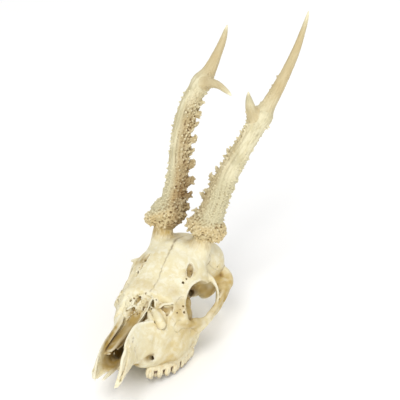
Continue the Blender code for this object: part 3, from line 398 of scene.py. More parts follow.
# Brown and ochre stains, and painted shade in the orbits, under the cheek arches, low on the sides and under
# the coronets, in the same way. Those with one amount are on that side only.
STAINS_AND_SHADE = [
    ((27.5, -36.5, 19), (5, 7, 4), 0.7), ((31.3, -20.2, 16.3), (5, 6, 4), 0.6),
    ((22.4, 8.3, 77), (4, 8, 4), 0.8, 0.8), ((38, 50, 51), (13, 17, 10), 0.9, 0.9),
    ((28, -24, 24), (12, 30, 18), 0.42, 0.3), ((18, -50, 36), (14, 34, 24), 0.2),
    ((27, -30, 12), (12, 34, 9), 0.7, 0.55), ((34, -12, 38), (10, 18, 13), 0.75, 0.6),
    ((28, -22, 54), (8, 11, 11), 0.6), ((-34, 0, 66), (14, 34, 12), 0.3), ((34, 4, 66), (12, 26, 10), 0.15),
    ((0, 80, 56), (34, 12, 26), 0.3), ((0, 60, 62), (38, 34, 26), 0.24), ((23, 30, 54), (9, 16, 11), 1),
    ((26, 45, 45), (10, 14, 9), 1, 0.8), ((-30, 10, 73), (7, 11, 6), 0.6),
    ((41.6, 26, 53), (5, 6, 12), 0.5), ((22, -3, 42), (11, 16, 14), 0.9, 0.9),
    ((24, 4, 48), (14, 22, 14), 0.9, 0.9), ((26, 18, 59), (11, 14, 11), 1),
    ((-24, 20, 57), (9, 10, 10), 0.95), ((19.4, 42, 97), (13, 13, 8), 0.7, 0.85),
    ((43, 34, 46), (8, 27, 11), 1, 0.9), ((22, 66, 36), (12, 14, 8), 0.5, 0.5),
    ((10, -34, 54), (18, 10, 10), 0.5), ((0, -60, 30), (12, 40, 17), 1), ((-9, -98, 26), (7, 14, 14), 0.3),
    ((11, -93, 36), (7, 18, 16), 0.34), ((17.5, -61, 24.5), (4, 6, 4), 0.9),
    ((20, -18, 68), (9, 7, 6), 0.35), ((-6, -18, 69), (14, 7, 6), 0.3),
]

# Cheek teeth of the left row: (x, y, z of the tip, length, width, number of lobes)
TEETH = [
    (15, -51, -0.6, 8.8, 6.4, 1), (19, -43, -2.4, 9, 8.2, 1), (22, -34.8, -3.2, 8.8, 9.8, 1),
    (24.8, -25, -3.6, 11.6, 10.6, 2), (26.6, -13, -2.9, 12.8, 11, 2), (27.2, -0.6, -1.9, 12.4, 10.4, 2),
]
CROWN = 9.0
# The ridges of a lobe's outer wall: blend, rows of (widths across, lobes along, height over the tip, radius)
LOBE_RIDGES = [
    (0.6, [(0.42, 0, 8, 0.9), (0.38, 0, 4, 0.9), (0.3, 0, 0.6, 0.5)]),
    (0.5, [(0.38, -0.42, 8, 0.8), (0.36, -0.42, 3.4, 0.7), (0.3, -0.3, 1.8, 0.4)]),
    (0.5, [(0.38, 0.42, 8, 0.7), (0.36, 0.42, 3.4, 0.6), (0.3, 0.3, 1.8, 0.4)]),
]
LOBE_VALLEY = [(0.12, -0.34, 0.4, 0.9), (0.02, 0, 1.6, 1.1), (0.12, 0.34, 0.4, 0.9)]

# Antlers. Beam, point and tine have rows of (x, y, z, radius), and the seat is the middle of the foot with
# its lean to the side in degrees. Knobs: share of the way up, turn about the beam in degrees, size. Lumps of
# the coronet: turn in degrees, distance from its middle, height, size. The other numbers: the sign of the way
# to the other antler, the cosine of the turn from which the inner side begins, how high the granules reach
# over the foot, the share of stout pearls, the strength of three colours, how much of the tine is pale, and
# how many degrees the coronet is tipped up in front.
ANTLERS = {
    "left": {
        "beam": [
            (20.3, 43.5, 103, 11.4), (22.8, 46, 115, 10.9), (26.5, 49.5, 131, 9.9), (32.5, 53.5, 151, 9),
            (40.2, 58, 171, 8.3), (48.2, 62.5, 190, 8), (56, 68, 207.5, 8.4),
        ],
        "point": [
            (55, 68, 207.5, 7.8), (60.5, 75.5, 221.5, 6), (66, 85.5, 239, 4.8), (70.5, 96.5, 258, 3.7),
            (73.5, 104, 276, 2.6), (75.3, 108, 289, 1.5), (75.8, 109, 294.5, 0.6),
        ],
        "tine": [
            (51.5, 65.5, 203, 6.3), (49, 58.5, 214.5, 4.8), (48.6, 52.3, 225, 3), (49, 48, 234.2, 0.7),
        ],
        "seat": ((20.3, 43.5, 102.5), 10),
        "beam_knobs": [
            (0.24, 175, 3.6), (0.4, 185, 4), (0.52, 180, 2.4), (0.12, 190, 2.8), (0.64, 180, 2.2),
            (0.2, 10, 1.8), (0.33, -10, 1.8), (0.47, 5, 1.6), (0.72, 175, 2), (0.16, 160, 2.6),
            (0.29, 195, 2.6), (0.34, 165, 2.3), (0.46, 178, 2.4), (0.58, 170, 2), (0.26, 0, 1.8),
            (0.4, 8, 1.7), (0.56, -4, 1.6), (0.66, 6, 1.5),
        ],
        "point_knobs": [
            (0.06, 170, 1.6), (0.11, 185, 1.5), (0.17, 172, 1.3), (0.24, 182, 1.2), (0.37, 178, 1.8),
        ],
        "side": -1,
        "inner_from": 0.2,
        "granular": 56,
        "stout_inner": 0.6,
        "brown": 0.35,
        # Darker low on the inner side: partly its own colour, partly painted shade
        "sooty": 0.08,
        "front_lift": 10,
        "tip": 0.4,
        "tine_pale": 0.35,
        "lumps": [(-25, 13.5, 0.2, 4.3), (-5, 12.5, 1.6, 4), (200, 12.6, 1, 3.6), (260, 13.4, 0.6, 3.4)],
    },
    "right": {
        "beam": [
            (-17.8, 43.5, 105, 10.9), (-15.5, 47, 117, 10.2), (-14, 52, 136, 8.8), (-15, 58, 156, 8.4),
            (-17, 64.5, 175, 8.2), (-17, 71, 193, 8), (-13.5, 77, 209, 7.9), (-7.5, 81.5, 222.5, 7.8),
        ],
        "point": [
            (-8, 81.5, 222.5, 7.6), (-3.5, 86.5, 232, 6.2), (-0.5, 94, 244, 4.5), (1.2, 101.5, 255, 3.3),
            (2, 107, 264.5, 2), (2.2, 109.5, 270, 0.7),
        ],
        "tine": [
            (-7, 80.5, 222, 5.8), (4, 74.5, 226.5, 4.5), (15, 68, 227.5, 3.1), (24.5, 62.5, 225.5, 2),
            (29.5, 59.5, 224, 0.8),
        ],
        "seat": ((-18.3, 43.5, 104), -22),
        "beam_knobs": [
            (0.06, 10, 3), (0.12, 25, 4), (0.2, 15, 4.4), (0.3, 22, 4.9), (0.41, 18, 4.9), (0.5, 26, 3.4),
            (0.59, 15, 4.6), (0.7, 22, 3.9), (0.79, 15, 3.8), (0.88, 10, 3), (0.16, -20, 2.6),
            (0.25, -15, 2.8), (0.35, -20, 2.6), (0.45, -12, 2.8), (0.54, -18, 2.6), (0.65, -10, 2.5),
            (0.75, -12, 2.3), (0.84, -8, 2.2), (0.95, 0, 2),
        ],
        "point_knobs": [],
        "side": 1,
        "inner_from": 0,
        "granular": 50,
        "stout_inner": 0.7,
        "brown": 0.62,
        # Darker low on the inner side: partly its own colour, partly painted shade
        "sooty": 0.58,
        "front_lift": 20,
        "tip": 0.8,
        "tine_pale": 0.15,
        "lumps": [(195, 13.8, 2.4, 4.2), (225, 13, 1.6, 3.6), (-30, 12.6, 1, 3.8), (20, 12.4, 1.8, 3.6)],
    },
}
# Furrows: turn about the antler and half width in radians, depth in millimetres
FURROWS = [
    (-2.35, 0.13, 1.1), (-1.95, 0.1, 0.7), (-1.5, 0.14, 1.2), (-1.05, 0.1, 0.8), (-0.6, 0.12, 0.9),
    (2.7, 0.15, 0.8), (2.1, 0.12, 0.9), (1.5, 0.14, 0.9), (0.9, 0.12, 0.7),
]
# The coronet is a ring of uneven thickness over the seat, and the foot a bar of heights and radii
CORONET_RADIUS = 12.6
CORONET_HEIGHT = 4.0
CORONET_THICKNESS = 3.6
CORONET_STEPS = 24
FOOT = ((1.6, 9.6), (9.0, 9.8))
# A knob's rows in knob sizes: how far out, how far up, how thick
KNOB = ((-0.4, 0.0, 1.15), (0.35, 0.05, 0.9), (0.9, 0.35, 0.62), (1.2, 0.8, 0.3))
CORE_VOXEL = 0.7  # grid step of the antler below its pearls
PEARL_INPUTS = [
    f"{kind} {what}" for kind in ("Granule", "Pearl") for what in ("spacing", "smallest", "largest", "height")
]

# The camera, which was fitted to the skull's landmarks: its direction in degrees, its distance from a target
# above the palate in millimetres, and the place of that target in the view
CAMERA_AZIMUTH = 23.2354
CAMERA_RISE = 24.0838
CAMERA_ROLL = 3.0
CAMERA_DISTANCE = 1300.0
CAMERA_TARGET = Vector((0.0, 0.0, 100.0))
PICTURE = 400.0  # width and height of the view
ZOOM = math.exp(0.1538)  # how many of these units a millimetre at the target takes
TARGET_IN_PICTURE = (163.93, 245.58)
SENSOR = 36.0
CLIP = (0.05, 20.0)
FLOOR_HALF = 4.0
# Lights, which all face one point: place, size and colour
LIGHT_AIM = (0.0, 0.0, 0.1)
LIGHTS = {
    "key": ((0.15, -1.25, 1.7), 0.9, (1.0, 0.985, 0.95)),
    "fill": ((1.4, -1.1, 0.9), 1.2, (0.98, 0.99, 1.0)),
    "back": ((-0.4, 1.5, 1.3), 1.0, (1.0, 1.0, 1.0)),
}


# ------------------------------------------------------------ geometry


def skull_frame():
    """From the skull's own frame, in millimetres, to the resting part's frame, in metres."""
    lean = Matrix.Rotation(-REST_TILT, 4, "X")
    place = Matrix.Translation((-BOX_MIDDLE[0], -BOX_MIDDLE[1], -(lean @ MOLAR_REST).z))
    return Matrix.Scale(MM, 4) @ place @ lean


def mirrored(rows):
    return [(-row[0], *row[1:]) for row in rows]


def smooth_line(rows, step):
    """Rows of numbers every step or so along a smooth curve through the given rows."""
    rows = np.array([rows[0], *rows, rows[-1]], float)
    made = []
    for before, start, end, after in zip(rows, rows[1:], rows[2:], rows[3:]):
        count = max(1, round(float(np.linalg.norm((end - start)[:3])) / step))
        t = np.arange(count)[:, None] / count
        square = (2 * before - 5 * start + 4 * end - after) * t**2
        cube = (3 * start - before - 3 * end + after) * t**3
        made.append(start + 0.5 * ((end - before) * t + square + cube))
    return np.vstack([*made, rows[-1:]])


def soft_min(a, b, blend):
    overlap = np.maximum(blend - np.abs(a - b), 0.0) / blend
    return np.minimum(a, b) - 0.25 * blend * overlap**2


def clipped(values):
    return np.clip(values, 0.0, 1.0)


def rising(values, start, width):
    """0 up to the start and 1 from a width further on. With a negative width it falls instead."""
    return clipped((values - start) / width)


def value_noise(points, size, seed):
    """Smooth noise from -1 to 1 whose bumps are about size across."""
    table = np.random.default_rng(seed).random((32, 32, 32))
    scaled = points / size
    cell = np.floor(scaled).astype(int)
    t = scaled - cell
    t = t * t * (3 - 2 * t)
    total = np.zeros(len(points))
    for corner in itertools.product((0, 1), repeat=3):
        weight = np.prod(np.where(corner, t, 1 - t), axis=1)
        total += weight * table[tuple(((cell + corner) % 32).T)]
    return 2 * total - 1


class Field:
    """Distances to a surface on a regular grid, in millimetres, below zero inside."""

    def __init__(self, low, high, voxel):
        self.low = np.array(low, float)
        self.voxel = voxel
        size = np.ceil((np.array(high, float) - self.low) / voxel).astype(int) + 1
        self.value = np.full(size, FAR, np.float32)

    def window(self, low, high):
        """The part of the grid between two corners, and its x, y and z."""
        first = np.floor((np.array(low) - self.low) / self.voxel).astype(int)
        last = np.ceil((np.array(high) - self.low) / self.voxel).astype(int) + 1
        first = np.clip(first, 0, self.value.shape)
        last = np.clip(last, first, self.value.shape)
        lines = [self.low[a] + self.voxel * np.arange(first[a], last[a]) for a in range(3)]
        grid = np.meshgrid(*[line.astype(np.float32) for line in lines], indexing="ij", sparse=True)
        return tuple(slice(a, b) for a, b in zip(first, last)), grid

    def ball(self, centre, radii, margin):
        centre, radii = np.array(centre, float), np.array(radii, float)
        part, grid = self.window(centre - radii - margin, centre + radii + margin)
        offset = [(line - middle) / radius for line, middle, radius in zip(grid, centre, radii)]
        reach = np.sqrt(sum(value**2 for value in offset))
        slope = np.sqrt(sum((value / radius) ** 2 for value, radius in zip(offset, radii)))
        return part, reach * (reach - 1.0) / np.maximum(slope, 1e-6)

    def bar(self, rows, margin, breadth=None, step=2.0):
        """A round bar, or with a way of its breadth a plate, as broad as each row's fifth number says."""
        rows = smooth_line(rows, step)
        wide = rows[:, 4].max() if breadth else 0.0
        reach = rows[:, 3].max() + wide + margin
        part, _ = self.window(rows[:, :3].min(0) - reach, rows[:, :3].max(0) + reach)
        near = np.full([piece.stop - piece.start for piece in part], FAR, np.float32)
        for start, end in zip(rows, rows[1:]):
            reach = max(start[3], end[3]) + wide + margin
            low = np.minimum(start[:3], end[:3]) - reach
            high = np.maximum(start[:3], end[:3]) + reach
            here, grid = self.window(low, high)
            way = end[:3] - start[:3]
            offset = [line - value for line, value in zip(grid, start[:3])]
            t = sum(value * step for value, step in zip(offset, way)) / max(way @ way, 1e-9)
            t = clipped(t)
            offset = [value - t * step for value, step in zip(offset, way)]
            if breadth:
                across = np.array(breadth, float)
                across -= way * (way @ across) / max(way @ way, 1e-9)
                across /= np.linalg.norm(across)
                half = start[4] + t * (end[4] - start[4])
                side = np.clip(sum(v * w for v, w in zip(offset, across)), -half, half)
                offset = [value - side * step for value, step in zip(offset, across)]
            distance = np.sqrt(sum(value**2 for value in offset))
            distance -= start[3] + t * (end[3] - start[3])
            local = tuple(slice(a.start - b.start, a.stop - b.start) for a, b in zip(here, part))
            near[local] = np.minimum(near[local], distance)
        return part, near

    def loft(self, sections, margin):
        """A mass of rounded sections across y, with soft ends."""
        rows = smooth_line([(0.0, row[0], 0.0, *row[1:]) for row in sections], 1.0)
        order = np.argsort(rows[:, 1])
        at, table = rows[order, 1], rows[order][:, 3:]
        half = table[:, 3].max() + margin
        low = (-half, at[0] - margin, table[:, 0].min() - margin)
        part, (x, y, z) = self.window(low, (half, at[-1] + margin, table[:, 2].max() + margin))
        columns = [np.interp(y.ravel(), at, column).astype(np.float32) for column in table.T]
        lowest, widest, highest, half, low_power, high_power = [c[None, :, None] for c in columns]
        above = z >= widest
        up = np.where(above, (z - widest) / (highest - widest), (widest - z) / (widest - lowest))
        power = np.where(above, high_power, low_power)
        ratio = ((np.abs(x) / half) ** power + up**power) ** (1.0 / power)
        slope = np.sqrt(sum(change**2 for change in np.gradient(ratio, self.voxel)))
        distance = (ratio - 1.0) / np.maximum(slope, 0.3 / half)
        ends = np.maximum(at[0] - y, y - at[-1])
        return part, -soft_min(-distance, -ends, 3.0)

    def add(self, measured, blend):
        part, near = measured
        self.value[part] = soft_min(self.value[part], near, blend)

    def cut(self, measured, blend):
        part, near = measured
        self.value[part] = -soft_min(-self.value[part], near, blend)

    def hollowness(self, reach):
        """How much bone lies within reach of each point: a half on a flat face, more in a hollow."""
        solid = clipped(0.5 - self.value[::2, ::2, ::2] / (2 * self.voxel))
        width = max(1, round(reach / (2 * self.voxel)))
        for axis in (0, 1, 2, 0, 1, 2):
            padding = [(0, 0)] * 3
            padding[axis] = (width + 1, width)
            total = np.cumsum(np.pad(solid, padding, mode="edge"), axis=axis, dtype=np.float64)
            upper = np.take(total, range(2 * width + 1, total.shape[axis]), axis=axis)
            lower = np.take(total, range(0, total.shape[axis] - 2 * width - 1), axis=axis)
            solid = ((upper - lower) / (2 * width + 1)).astype(np.float32)
        return solid

    def slope(self, points, values=None):
        """The way out of the bone at each point, of length one."""
        values = self.value if values is None else values
        steps = np.eye(3) * self.voxel
        change = [self.sample(values, points + s, 1) - self.sample(values, points - s, 1) for s in steps]
        change = np.stack(change, axis=1)
        return change / np.maximum(np.linalg.norm(change, axis=1, keepdims=True), 1e-6)

    def onto(self, rows, depths=0.0):
        """Rows of (x, y, z, ...) moved to the nearest surface, and then that deep below it."""
        rows = np.array(rows, float)
        for _ in range(6):
            gap = np.clip(self.sample(self.value, rows[:, :3], 1), -1.2, 1.2)
            rows[:, :3] -= gap[:, None] * self.slope(rows[:, :3])
        rows[:, :3] -= np.broadcast_to(depths, len(rows))[:, None] * self.slope(rows[:, :3])
        return rows

    def pit(self, blend, first, last, rows):
        """Cuts a bar out along rows that lie from the first to the last depth below the surface."""
        sunk = self.onto(rows, np.linspace(first, last, len(rows)))
        self.cut(self.bar(sunk, blend + 1.0, step=1.0), blend)

    def crumble(self, spacing, smallest, largest, rows, seed):
        """Takes small chips out along an edge."""
        rng = np.random.default_rng(seed)
        for point in smooth_line(rows, spacing):
            radii = rng.uniform(smallest, largest) * rng.uniform(0.7, 1.4, 3)
            self.cut(self.ball(point + rng.uniform(-0.9, 0.9, 3), radii, 1.4), 0.4)

    def make_spongy(self, centre, radii, size, depth, seed):
        """Opens small uneven cells in the bone around a point."""
        centre, radii = np.array(centre), np.array(radii)
        part, grid = self.window(centre - radii, centre + radii)
        shape = self.value[part].shape
        points = np.stack([np.broadcast_to(line, shape).ravel() for line in grid], axis=1).astype(float)
        reach = np.sqrt((((points - centre) / radii) ** 2).sum(1))
        cells = clipped(value_noise(points, size, seed) - 0.08) * clipped(2.0 * (1.0 - reach))
        self.value[part] += (2.0 * depth * cells).reshape(shape).astype(np.float32)

    def sample(self, values, points, every=2):
        """Values that stand on every so many grid points, read at the given points."""
        place = (points - self.low) / (self.voxel * every)
        place = np.clip(place, 0.0, np.array(values.shape) - 1.001)
        cell = place.astype(int)
        t = place - cell
        total = np.zeros(len(points))
        for corner in itertools.product((0, 1), repeat=3):
            weight = np.prod(np.where(corner, t, 1 - t), axis=1)
            total += weight * values[tuple((cell + corner).T)]
        return total

    def soften(self, times):
        """Rounds the smallest creases off."""
        value = np.clip(self.value, -3 * self.voxel, 3 * self.voxel)
        for _ in range(times):
            for axis in range(3):
                value = (np.roll(value, 1, axis) + 2 * value + np.roll(value, -1, axis)) * 0.25
        self.value = value

    def surface(self, region=None):
        """(points, quads) of the surface, or of the part of the body where the region is below zero."""
        value = self.value if region is None else np.maximum(self.value, region)
        limit = 3 * self.voxel
        value = np.pad(np.clip(value, -limit, limit), 1, constant_values=limit)
        grid = openvdb.FloatGrid(limit)
        grid.copyFromArray(np.ascontiguousarray(value, np.float32))
        points, quads = grid.convertToQuads(0.0)
        return self.low + self.voxel * (points.astype(float) - 1.0), quads.astype(np.int64)


def largest_body(points, quads):
    """The biggest connected surface, without loose crumbs."""
    label = np.arange(len(points))
    edges = np.concatenate([quads[:, [0, 1]], quads[:, [1, 2]], quads[:, [2, 3]]])
    while True:
        low = np.minimum(label[edges[:, 0]], label[edges[:, 1]])
        new = label.copy()
        np.minimum.at(new, edges[:, 0], low)
        np.minimum.at(new, edges[:, 1], low)
        new = new[new]
        if (new == label).all():
            break
        label = new
    names, counts = np.unique(label, return_counts=True)
    kept = label == names[counts.argmax()]
    index = np.cumsum(kept) - 1
    return points[kept], index[quads[kept[quads[:, 0]]]]


def new_mesh(name, points, faces):
    mesh = bpy.data.meshes.new(name)
    mesh.vertices.add(len(points))
    mesh.vertices.foreach_set("co", points.astype(np.float32).ravel())
    mesh.loops.add(faces.size)
    mesh.loops.foreach_set("vertex_index", faces.astype(np.int32).ravel())
    mesh.polygons.add(len(faces))
    mesh.polygons.foreach_set("loop_start", np.arange(0, faces.size, faces.shape[1], dtype=np.int32))
    mesh.update(calc_edges=True)
    return mesh


def vectors_of(items, name):
    vectors = np.empty(len(items) * 3, np.float32)
    items.foreach_get(name, vectors)
    return vectors.reshape(-1, 3).astype(float)


def points_of(mesh):
    return vectors_of(mesh.vertices, "co")


def normals_of(mesh):
    return vectors_of(mesh.vertex_normals, "vector")


def set_points(mesh, points):
    mesh.vertices.foreach_set("co", points.astype(np.float32).ravel())
    mesh.update()


def set_mask(mesh, name, values):
    layer = mesh.attributes.get(name) or mesh.attributes.new(name, "FLOAT", "POINT")
    layer.data.foreach_set("value", np.asarray(values, np.float32))


def faces_out(points, quads):
    """The quads turned so that they enclose a positive volume."""
    a, b, c, d = (points[quads[:, k]] for k in range(4))
    volume = np.einsum("ij,ij->", np.cross(c - a, d - b), (a + b + c + d) / 4)
    return quads if volume > 0 else quads[:, ::-1]


def apply_modifiers(item):
    """Puts what the object's modifiers make in the place of its mesh."""
    graph = bpy.context.evaluated_depsgraph_get()
    item.data = bpy.data.meshes.new_from_object(item.evaluated_get(graph))
    item.modifiers.clear()


def piece_from(name, points, quads):
    """An object with one closed surface of at most TRIANGLE_LIMIT triangles, still in millimetres."""
    if not len(quads):
        raise RuntimeError(f"{name} has no surface")
    points, quads = largest_body(points, quads)
    item = bpy.data.objects.new(name, new_mesh(name, points, faces_out(points, quads)))
    bpy.context.scene.collection.objects.link(item)
    if 2 * len(quads) > TRIANGLE_LIMIT:
        fewer = item.modifiers.new("Fewer", "DECIMATE")
        fewer.ratio = TRIANGLE_LIMIT / (2 * len(quads))
        apply_modifiers(item)
    return item


def engrave(points, lines, field):
    """How deep each point goes for the lines of (depth, half width, rows), which are drawn on the surface."""
    depth = np.zeros(len(points))
    for number, (deepest, half, rows) in enumerate(lines):
        rows = smooth_line([row if len(row) == 4 else (*row, half) for row in rows], 0.6)
        line = rows[:, :3]
        wobble = [value_noise(line + 40.0 * k, 1.9, seed=11 + k) for k in range(3)]
        wander = [value_noise(line, 4.5, seed=k) for k in range(3)]
        line += 0.55 * (np.stack(wobble, axis=1) + 0.6 * np.stack(wander, axis=1))
        rows = field.onto(rows)
        uneven = 0.75 + 0.5 * value_noise(rows[:, :3], 2.6, seed=50 + number)
        widest = rows[:, 3].max()
        low, high = rows[:, :3].min(0) - 3 * widest, rows[:, :3].max(0) + 3 * widest
        near = np.flatnonzero(((points > low) & (points < high)).all(1))
        close, best = points[near], np.zeros(len(near))
        for row, share in zip(rows, uneven):
            gap = ((close - row[:3]) ** 2).sum(1) / row[3] ** 2
            best = np.maximum(best, share * np.exp(-gap))
        depth[near] = np.maximum(depth[near], deepest * best)
    return depth


def finish_piece(item, nodes, material):
    """Places a piece in the part's frame and hands it over."""
    item.data.transform(skull_frame())
    points = points_of(item.data)
    points[:, 2] = np.maximum(points[:, 2], 0.0)  # what rests on the floor is worn flat
    set_points(item.data, points)
    item.data.polygons.foreach_set("use_smooth", [True] * len(item.data.polygons))
    item.data.materials.clear()
    item.data.materials.append(material)
    item.data.update()
    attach(item, "root")
    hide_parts(*nodes)


# ------------------------------------------------------------ materials


def fill(tree, made, inputs):
    """Links the inputs of a node to other nodes, or sets them to constant values."""
    for key, value in inputs.items():
        if isinstance(value, bpy.types.NodeSocket):
            tree.links.new(value, made.inputs[key])
        else:
            made.inputs[key].default_value = value


def node(tree, kind, inputs, **settings):
    made = tree.nodes.new(kind)
    for key, value in settings.items():
        setattr(made, key, value)
    fill(tree, made, inputs)
    return made


def layered(tree, colour, layers):
    """A colour with other colours laid over it in turn, each by its share."""
    for share, tint in layers:
        inputs = {0: share, 6: colour, 7: tinted(tint)}
        colour = node(tree, "ShaderNodeMix", inputs, data_type="RGBA").outputs[2]
    return colour


def product(tree, first, second):
    return node(tree, "ShaderNodeMath", {0: first, 1: second}, operation="MULTIPLY").outputs[0]


def ramped(tree, value, low, high, to_low=0.0, to_high=1.0):
    inputs = {"Value": value, "From Min": low, "From Max": high, "To Min": to_low, "To Max": to_high}
    return node(tree, "ShaderNodeMapRange", inputs, interpolation_type="SMOOTHSTEP").outputs["Result"]


def attribute(tree, name):
    return node(tree, "ShaderNodeAttribute", {}, attribute_name=name).outputs["Fac"]


def group_tree(name, inputs, outputs):
    tree = bpy.data.node_groups.new(name, "ShaderNodeTree")
    for label, kind, default in inputs:
        socket = tree.interface.new_socket(label, in_out="INPUT", socket_type=kind)
        if default is not None:
            socket.default_value = default
    for label, kind in outputs:
        tree.interface.new_socket(label, in_out="OUTPUT", socket_type=kind)
    return tree, tree.nodes.new("NodeGroupInput").outputs, tree.nodes.new("NodeGroupOutput").inputs


def mottling_group(name):
    """Soft uneven patches, as stain and fat leave them on old bone."""
    inputs = [
        ("Coordinates", "NodeSocketVector", None),
        ("Patches per metre", "NodeSocketFloat", 60.0),
        ("Start", "NodeSocketFloat", 0.45),
        ("End", "NodeSocketFloat", 0.65),
    ]
    tree, given, out = group_tree(name, inputs, [("Mask", "NodeSocketFloat")])
    look = {"Vector": given[0], "Scale": given[1], "Detail": 4.0, "Roughness": 0.6, "Distortion": 0.4}
    noise = node(tree, "ShaderNodeTexNoise", look)
    tree.links.new(ramped(tree, noise.outputs["Fac"], given[2], given[3]), out[0])
    return tree


def grain_group(name):
    """Fine pores and a soft waviness, as a height and as a mask of the pores."""
    inputs = [
        ("Coordinates", "NodeSocketVector", None),
        ("Pores per metre", "NodeSocketFloat", 900.0),
        ("Porous", "NodeSocketFloat", 0.3),
    ]
    outputs = [("Height", "NodeSocketFloat"), ("Pores", "NodeSocketFloat")]
    tree, given, out = group_tree(name, inputs, outputs)
    cells = node(tree, "ShaderNodeTexVoronoi", {"Vector": given[0], "Scale": given[1], "Randomness": 1.0})
    spread = node(tree, "ShaderNodeTexNoise", {"Vector": given[0], "Scale": 150.0, "Detail": 3.0})
    wanted = product(tree, ramped(tree, spread.outputs["Fac"], 0.48, 0.62), given[2])
    pores = product(tree, ramped(tree, cells.outputs["Distance"], 0.34, 0.12), wanted)
    look = {"Vector": given[0], "Scale": 420.0, "Detail": 5.0, "Roughness": 0.65}
    soft = node(tree, "ShaderNodeTexNoise", look).outputs["Fac"]
    height = node(tree, "ShaderNodeMath", {0: soft, 1: pores}, operation="SUBTRACT").outputs[0]
    tree.links.new(height, out[0])
    tree.links.new(pores, out[1])
    return tree


def placed_group(tree, name, build, inputs):
    """A node group in a tree, which is made when it is first asked for."""
    group = bpy.data.node_groups.get(name) or build(name)
    return node(tree, "ShaderNodeGroup", inputs, node_tree=group)


def patches(tree, place, per_metre, start, end):
    """A mask of mottling, from 0 to 1 between the two levels of its noise."""
    inputs = {"Coordinates": place, "Patches per metre": per_metre, "Start": start, "End": end}
    return placed_group(tree, "Mottling", mottling_group, inputs).outputs["Mask"]


def bump(tree, height, strength, distance):
    inputs = {"Height": height, "Strength": strength, "Distance": distance}
    return node(tree, "ShaderNodeBump", inputs).outputs["Normal"]


def fresh_material(name):
    material = bpy.data.materials.new(name)
    material.use_nodes = True
    tree = material.node_tree
    tree.nodes.clear()
    shader = tree.nodes.new("ShaderNodeBsdfPrincipled")
    output = tree.nodes.new("ShaderNodeOutputMaterial")
    tree.links.new(shader.outputs[0], output.inputs["Surface"])
    place = tree.nodes.new("ShaderNodeTexCoord").outputs["Object"]
    return material, tree, shader, place


def tinted(colour):
    return (*colour, 1.0)


def bone_material(look):
    material, tree, shader, place = fresh_material("Dry bone")
    broad = patches(tree, place, 28.0, 0.42, 0.7)
    fine = patches(tree, place, 190.0, 0.42, 0.66)
    inputs = {"Coordinates": place, "Pores per metre": 1100.0, "Porous": attribute(tree, "porous")}
    grain = placed_group(tree, "Bone grain", grain_group, inputs)
    wide, close = attribute(tree, "hollow_wide"), attribute(tree, "hollow_fine")
    colour = layered(tree, tinted(look.bone), [
        (broad, look.bone_warm),
        (product(tree, fine, 0.75), look.bone_pale_and_highlight),
        # Ochre stains, and painted shade in the orbits, under the arches and in the nose
        (attribute(tree, "stain"), look.bone_ochre_and_shade),
        # Painted shade in wide hollows, ochre and then deeper
        (ramped(tree, wide, 0.54, 0.8), look.bone_ochre_and_shade),
        (ramped(tree, wide, 0.72, 0.95), look.bone_shade),
        # Painted shade in fine creases
        (ramped(tree, close, 0.56, 0.78, 0.0, 0.9), look.bone_shade),
        # Painted highlight on thin edges and crests
        (ramped(tree, close, 0.44, 0.26, 0.0, 0.6), look.bone_pale_and_highlight),
        # Dirt in sutures, and painted shade in deep holes, on the right pedicle and in the nose
        (attribute(tree, "dark"), look.bone_dark_and_shade),
        # Pores, darkened with painted shade
        (product(tree, grain.outputs["Pores"], 0.75), look.bone_shade),
    ])
    fill(tree, shader, {
        "Base Color": colour,
        "Roughness": ramped(tree, broad, 0.0, 1.0, 0.62, 0.48),
        "Specular IOR Level": 0.4,
        "Normal": bump(tree, grain.outputs["Height"], 0.35, 0.0004),
    })
    return material


def antler_material(look):
    material, tree, shader, place = fresh_material("Antler")
    broad = patches(tree, place, 60.0, 0.4, 0.66)
    drawn_out = {"X": attribute(tree, "around"), "Y": attribute(tree, "along"), "Z": 0.0}
    streaks = patches(tree, node(tree, "ShaderNodeCombineXYZ", drawn_out).outputs[0], 1.0, 0.46, 0.62)
    inputs = {"Coordinates": place, "Pores per metre": 1400.0, "Porous": 0.5}
    grain = placed_group(tree, "Bone grain", grain_group, inputs)
    wide, close = attribute(tree, "hollow_wide"), attribute(tree, "hollow_fine")
    colour = layered(tree, tinted(look.antler), [
        (broad, look.antler_grey),
        (product(tree, streaks, 0.55), look.antler_furrow),
        (attribute(tree, "grey"), look.antler_grey),
        # Brown inner sides, stronger low down as painted shade
        (attribute(tree, "brown"), look.antler_brown_and_shade),
        (attribute(tree, "golden"), look.antler_golden),
        # Stain on the points and the tine, with painted shade
        (attribute(tree, "stain"), look.antler_ochre),
        # Painted shade in wide hollows
        (ramped(tree, wide, 0.52, 0.7, 0.0, 0.7), look.antler_brown_and_shade),
        # Painted shade between the pearls, as strong as the deep mask says
        (product(tree, ramped(tree, close, 0.5, 0.68), attribute(tree, "deep")), look.antler_dark_and_shade),
        (ramped(tree, close, 0.4, 0.18, 0.0, 0.5), look.antler_tip),
        # Darker low on the inner side: partly its own colour, partly painted shade
        (attribute(tree, "sooty"), look.antler_dark_and_shade),
        (attribute(tree, "tip"), look.antler_tip),
    ])
    fill(tree, shader, {
        "Base Color": colour,
        "Roughness": ramped(tree, broad, 0.0, 1.0, 0.6, 0.72),
        "Specular IOR Level": 0.35,
        "Normal": bump(tree, grain.outputs["Height"], 0.5, 0.0004),
    })
    return material


